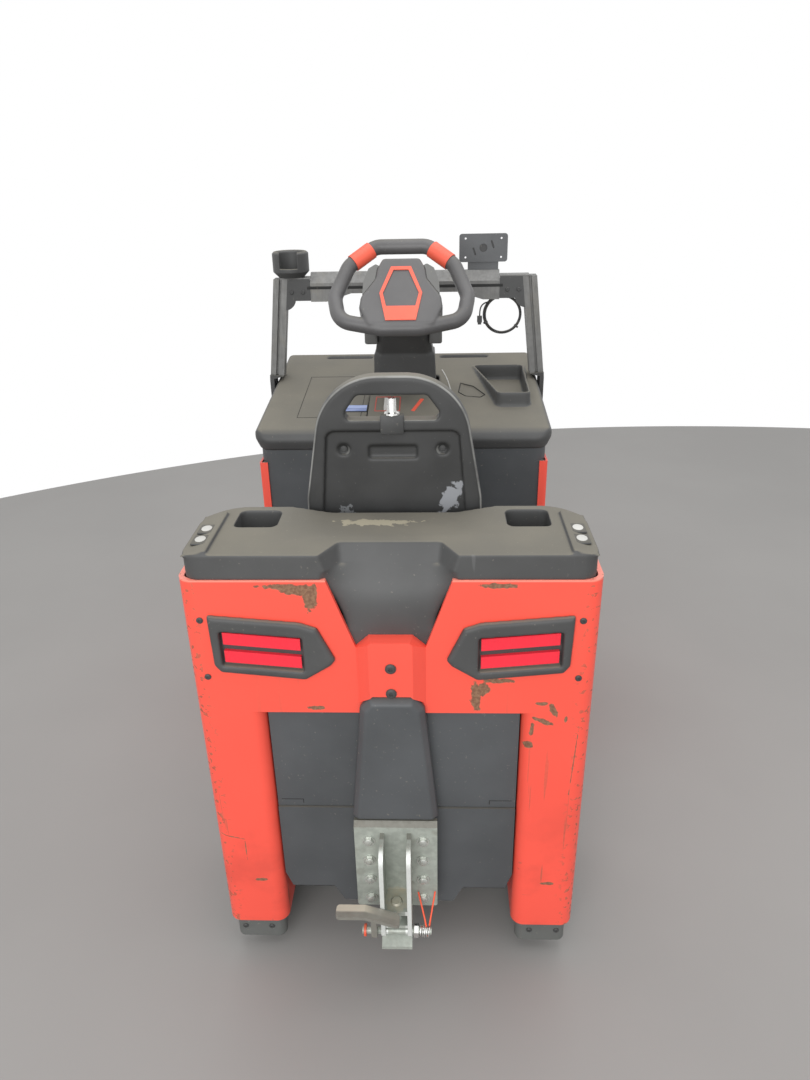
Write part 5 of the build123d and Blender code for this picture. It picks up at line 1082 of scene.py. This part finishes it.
class TRACTOR_OT_controls(bpy.types.Operator):
    """Add the switches on the column, the keys on the cover and what the dash shows"""

    bl_idname = "tractor.controls"
    bl_label = "Controls"

    def execute(self, context):
        boxes = []
        for side in (-1, 1):
            inner, outer = sorted((side * 0.070, side * 0.105))
            boxes.append(
                block(f"switch_{side}", spot(inner, 0.900, 1.232), spot(outer, 0.945, 1.274), 0.006, 3)
            )
        settled(joined("column_switches", boxes), "chassis", "wheel_grey")
        self.cover_keys()
        self.dash()
        return {"FINISHED"}

    def cover_keys(self):
        """Two dark keys with pale pads at each end of the rear cover."""
        keys, pads = [], []
        for side in (-1, 1):
            for from_rear in (0.062, 0.110):
                x = side * 0.357
                low = spot(x - 0.015, from_rear - 0.020, 1.040)
                high = spot(x + 0.015, from_rear + 0.020, 1.046)
                keys.append(block("key", low, high, 0.004))
                oval = Matrix.Diagonal((0.010, 0.0135, 1.0, 1.0))
                oval = Matrix.Translation(spot(x, from_rear, 1.0455)) @ oval
                pads.append(turned("pad", [(1.0, 0.0), (1.0, 0.0006), (0.9, 0.0011)], oval, 20))
        settled(joined("cover_keys", keys), "chassis", "dark_steel")
        settled(joined("cover_key_pads", pads), "chassis", "pale_key")

    def dash(self):
        """The display, the marked key switch and the orange stripe beside it."""
        rim = [(-0.160, 0.817), (-0.098, 0.817), (-0.098, 0.863), (-0.160, 0.863)]
        settled(inlay("display_rim", rim, hood_level, 0.0015), "chassis", "dark_gap")
        glass = [(-0.157, 0.820), (-0.101, 0.820), (-0.101, 0.860), (-0.157, 0.860)]
        settled(inlay("display", glass, hood_level, 0.0022), "chassis", "display")
        marks = frame_of("key_outline", (-0.078, -0.011), (0.820, 0.903), 0.0026, dash_level, 0.0006)
        settled(marks, "chassis", "red_mark")
        switch = [(-0.054, 0.824), (-0.028, 0.824), (-0.028, 0.884), (-0.054, 0.884)]
        settled(inlay("key_switch", switch, dash_level, 0.007), "chassis", "pale_key")
        stripe = inlay("dash_stripe", strip((0.025, 0.818), (0.050, 0.889), 0.010), dash_level, 0.0008)
        settled(stripe, "chassis", "trim_orange")


class TRACTOR_OT_pads(bpy.types.Operator):
    """Blow up the backrest pad and the seat pad as cloth"""

    bl_idname = "tractor.pads"
    bl_label = "Pads"

    def execute(self, context):
        settings = context.scene.tractor_pads
        for node, body, flat_side in (("backrest_pad", "chassis", -1.0), ("seat_pad", "seat", 1.0)):
            thing = self.puffed(context, node, settings, flat_side)
            settled(thing, body, "upholstery", 70.0)
            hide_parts(node)
            piping = self.piping(node, flat_side)
            settled(piping, body, "upholstery", 70.0)
        return {"FINISHED"}

    def piping(self, node, flat_side):
        """A welt round the pad's loose side."""
        low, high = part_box(node)
        inset, corner = 0.006, 0.030
        loose = low.y + 0.009 if flat_side > 0 else high.y - 0.009
        left, right, foot, top = low.x + inset, high.x - inset, low.z + inset, high.z - inset
        line = [
            (left, foot), (left + corner, foot), (right - corner, foot), (right, foot),
            (right, foot + corner), (right, top - corner), (right, top),
            (right - corner, top), (left + corner, top), (left, top),
            (left, top - corner), (left, foot + corner),
        ]
        points = [Vector((x, loose, z)) for x, z in line]
        return meshed(wire(node.replace("_pad", "_piping"), points, 0.003, True))

    def puffed(self, context, node, settings, flat_side):
        """A pad that swells away from the side on which it is held flat."""
        low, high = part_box(node)
        middle = (low + high) / 2
        thing = copied(node, node.replace("_pad", "_cushion"))
        for vertex in thing.data.vertices:
            for axis, inset in ((0, 0.006), (2, 0.006)):
                vertex.co[axis] += inset if vertex.co[axis] < middle[axis] else -inset
            if (vertex.co.y - middle.y) * flat_side < 0:
                vertex.co.y += flat_side * 0.006
        remesh = thing.modifiers.new("Grid", "REMESH")
        remesh.mode = "VOXEL"
        remesh.voxel_size = settings.voxel
        baked(thing)
        rest = [vertex.co.copy() for vertex in thing.data.vertices]
        held = thing.vertex_groups.new(name="held")
        back = max(point.y * flat_side for point in rest)
        held.add([i for i, point in enumerate(rest) if point.y * flat_side > back - 0.003], 1.0, "REPLACE")
        cloth = thing.modifiers.new("Puff", "CLOTH")
        cloth.settings.vertex_group_mass = "held"
        cloth.settings.use_pressure = True
        cloth.settings.uniform_pressure_force = settings.pressure
        cloth.settings.effector_weights.gravity = 0.0
        cloth.point_cache.frame_end = settings.frames
        for step in range(1, settings.frames + 1):
            context.scene.frame_set(step)
        baked(thing)
        context.scene.frame_set(1)
        for vertex, start in zip(thing.data.vertices, rest):
            move = vertex.co - start
            if move.length > settings.travel:
                vertex.co = start + move.normalized() * settings.travel
        finer = thing.modifiers.new("Finer", "SUBSURF")
        finer.levels = finer.render_levels = 1
        return baked(thing)


class TRACTOR_OT_cable(bpy.types.Operator):
    """Tie the cable in a ring under the bar, with its short lead"""

    bl_idname = "tractor.cable"
    bl_label = "Cable"

    def execute(self, context):
        settings = context.scene.tractor_cable
        low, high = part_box("cable_coil")
        middle = (low + high) / 2
        exit_point = spot(0.25615, 1.085, 1.3318)
        route = [exit_point, spot(0.2552, 1.085, 1.3290)]
        first, last = math.radians(121.0), math.radians(138.0)
        sweep = 2 * math.pi * settings.turns + last - first
        steps = 16 * settings.turns
        for step in range(steps + 1):
            angle = first + sweep * step / steps
            twist = (angle - first) / 4
            radius = settings.ring + settings.strand_gap * math.cos(twist)
            away = settings.strand_gap * math.sin(twist)
            route.append(middle + Vector((radius * math.cos(angle), away, radius * math.sin(angle))))
        lead = [
            (0.226, 1.076, 1.310), (0.217, 1.073, 1.301), (0.214, 1.072, 1.287), (0.214, 1.072, 1.275),
        ]
        route += [spot(*point) for point in lead]
        cable = wire("cable", route, settings.diameter / 2)
        settled(cable, "chassis", "rubber")
        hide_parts("cable_coil", "cable_lead")
        band = [(0.0062, -0.0025), (0.0068, -0.002), (0.0068, 0.002), (0.0062, 0.0025)]
        bands = []
        for degrees in (75.0, 205.0, 320.0):
            angle = math.radians(degrees)
            place = middle + settings.ring * Vector((math.cos(angle), 0.0, math.sin(angle)))
            along = Matrix.Translation(place) @ Matrix.Rotation(-angle, 4, "Y")
            bands.append(turned("band", band, along, 20))
        ties = settled(joined("cable_ties", bands), "chassis", "dark_steel")
        return {"FINISHED"}


class TRACTOR_OT_bar_details(bpy.types.Operator):
    """Paint shade into the slot along the accessory bar as a dark strip and put the swivel behind the
    terminal plate
    """

    bl_idname = "tractor.bar_details"
    bl_label = "Bar details"

    def execute(self, context):
        low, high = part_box("accessory_bar")
        middle = (low.z + high.z) / 2
        # Painted shade: a dark strip laid along the bar's slot, where the recess falls into shade
        slot = block("bar_slot", (low.x + 0.075, low.y - 0.0006, middle - 0.004),
                     (high.x - 0.075, low.y + 0.002, middle + 0.004), 0.0002)
        settled(slot, "chassis", "dark_gap")
        plate_low, plate_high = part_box("terminal_plate")
        back = Matrix.Translation(((plate_low.x + plate_high.x) / 2, REAR + 1.0965, 1.4575))
        swivel = turned("terminal_swivel", [(0.034, 0.0), (0.034, 0.006), (0.018, 0.010), (0.018, 0.022)],
                        back @ Matrix.Rotation(-math.pi / 2, 4, "X"))
        settled(swivel, "chassis", "dark_steel")
        return {"FINISHED"}


class TRACTOR_OT_mat(bpy.types.Operator):
    """Rib the platform mat"""

    bl_idname = "tractor.mat"
    bl_label = "Mat ribs"

    def execute(self, context):
        low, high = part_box("platform_mat")
        ribs = raised_ribs()
        edge, pitch = 0.022, 0.016
        rows = int((high.y - low.y - 2 * edge) / pitch)
        points = [Vector((0.0, low.y + edge + pitch * (row + 0.5), high.z)) for row in range(rows)]
        values = {
            "Size": (high.x - low.x - 2 * edge, 0.006, 0.003),
            "Turn": (0.0, 0.0, 0.0),
            "Finish": FINISHES["rubber"],
        }
        settled(grown("mat_ribs", ribs, points, values), "chassis")
        return {"FINISHED"}


class TRACTOR_OT_stage(bpy.types.Operator):
    """Set the floor, the light and the camera"""

    bl_idname = "tractor.stage"
    bl_label = "Studio"

    def execute(self, context):
        scene = context.scene
        settings = scene.tractor_stage
        scene.view_settings.view_transform = "Standard"
        self.floor(settings)
        self.sky(scene, settings)
        self.lamps(scene, settings)
        self.camera(scene, settings)
        return {"FINISHED"}

    def floor(self, settings):
        """A pale round floor, white beyond its edge."""
        shape = bmesh.new()
        place = Matrix.Translation((*settings.middle, 0.0))
        bmesh.ops.create_circle(shape, cap_ends=True, segments=512, radius=settings.disc, matrix=place)
        mesh = bpy.data.meshes.new("studio_floor")
        shape.to_mesh(mesh)
        shape.free()
        thing = placed("studio_floor", mesh)
        made = Finish("studio_floor", 0.6)
        pale = tuple(settings.floor)
        clouds = made.spread(made.noise(1.2, 5.0), 0.3, 0.7)
        made.colour(made.blend(clouds, tinted(pale, 0.97), tinted(pale, 1.03)))
        mesh.materials.append(made.material)

    def sky(self, scene, settings):
        """Even light, which shows as white behind and in what shines."""
        scene.world = bpy.data.worlds.new("studio_sky")
        scene.world.use_nodes = True
        nodes, links = scene.world.node_tree.nodes, scene.world.node_tree.links
        background = nodes["Background"]
        background.inputs["Color"].default_value = (1.0, 1.0, 1.0, 1.0)
        path = nodes.new("ShaderNodeLightPath").outputs
        seen = path["Is Camera Ray"]
        for kind in ("Is Glossy Ray", "Is Transmission Ray"):
            either = nodes.new("ShaderNodeMath")
            either.operation = "MAXIMUM"
            links.new(seen, either.inputs[0])
            links.new(path[kind], either.inputs[1])
            seen = either.outputs[0]
        level = nodes.new("ShaderNodeMapRange")
        level.inputs["To Min"].default_value = settings.sky
        level.inputs["To Max"].default_value = 1.0
        links.new(seen, level.inputs["Value"])
        links.new(level.outputs["Result"], background.inputs["Strength"])

    def lamps(self, scene, settings):
        """A broad soft lamp overhead and one from the camera's side."""
        for name, place, size, power in (
            ("lamp_overhead", (0.3, 0.2, 4.2), 4.0, settings.lamp),
            ("lamp_behind", (-0.6, -4.4, 2.3), 3.0, settings.lamp * settings.behind),
        ):
            light = bpy.data.lights.new(name, "AREA")
            light.size = size
            light.energy = power
            lamp = placed(name, light)
            lamp.location = place
            aim = Vector((0.0, 0.1, 0.7)) - Vector(place)
            lamp.rotation_euler = aim.to_track_quat("-Z", "Y").to_euler()

    def camera(self, scene, settings):
        """The photograph's view."""
        data = bpy.data.cameras.new("view")
        data.sensor_width = 36.0
        data.lens = settings.lens
        camera = placed("view", data)
        ahead = Vector((
            math.sin(settings.yaw) * math.cos(settings.pitch),
            math.cos(settings.yaw) * math.cos(settings.pitch),
            -math.sin(settings.pitch),
        ))
        right = Vector((math.cos(settings.yaw), -math.sin(settings.yaw), 0.0))
        down = ahead.cross(right)
        turned_right = math.cos(settings.roll) * right + math.sin(settings.roll) * down
        turned_down = -math.sin(settings.roll) * right + math.cos(settings.roll) * down
        axes = Matrix((turned_right, -turned_down, -ahead)).transposed()
        camera.matrix_world = Matrix.Translation(settings.camera) @ axes.to_4x4()
        scene.camera = camera


STEPS = [
    TRACTOR_OT_finishes,
    TRACTOR_OT_stage,
    TRACTOR_OT_cable,
    TRACTOR_OT_mouldings,
    TRACTOR_OT_pads,
    TRACTOR_OT_fasteners,
    TRACTOR_OT_lever_spring,
    TRACTOR_OT_latch,
    TRACTOR_OT_controls,
    TRACTOR_OT_bar_details,
    TRACTOR_OT_mat,
]


class TRACTOR_PT_looks(bpy.types.Panel):
    """Lists the steps in order"""

    bl_idname = "TRACTOR_PT_looks"
    bl_label = "Tow Tractor"
    bl_space_type = "VIEW_3D"
    bl_region_type = "UI"
    bl_category = "Tow Tractor"

    def draw(self, context):
        for step in STEPS:
            self.layout.operator(step.bl_idname)


SETTINGS = {
    "tractor_colours": TractorColours,
    "tractor_fasteners": TractorFasteners,
    "tractor_cable": TractorCable,
    "tractor_pads": TractorPads,
    "tractor_stage": TractorStage,
}


def register():
    """Register the settings, the operators and the panel."""
    for name, group in SETTINGS.items():
        bpy.utils.register_class(group)
        setattr(bpy.types.Scene, name, PointerProperty(type=group))
    for step in [*STEPS, TRACTOR_PT_looks]:
        bpy.utils.register_class(step)


def unregister():
    """Undo what register did."""
    for step in reversed([*STEPS, TRACTOR_PT_looks]):
        bpy.utils.unregister_class(step)
    for name, group in reversed(SETTINGS.items()):
        delattr(bpy.types.Scene, name)
        bpy.utils.unregister_class(group)


def main():
    """Dress the tractor step by step."""
    register()
    for step in STEPS:
        group, action = step.bl_idname.split(".")
        getattr(getattr(bpy.ops, group), action)()


if __name__ == "__main__":
    main()
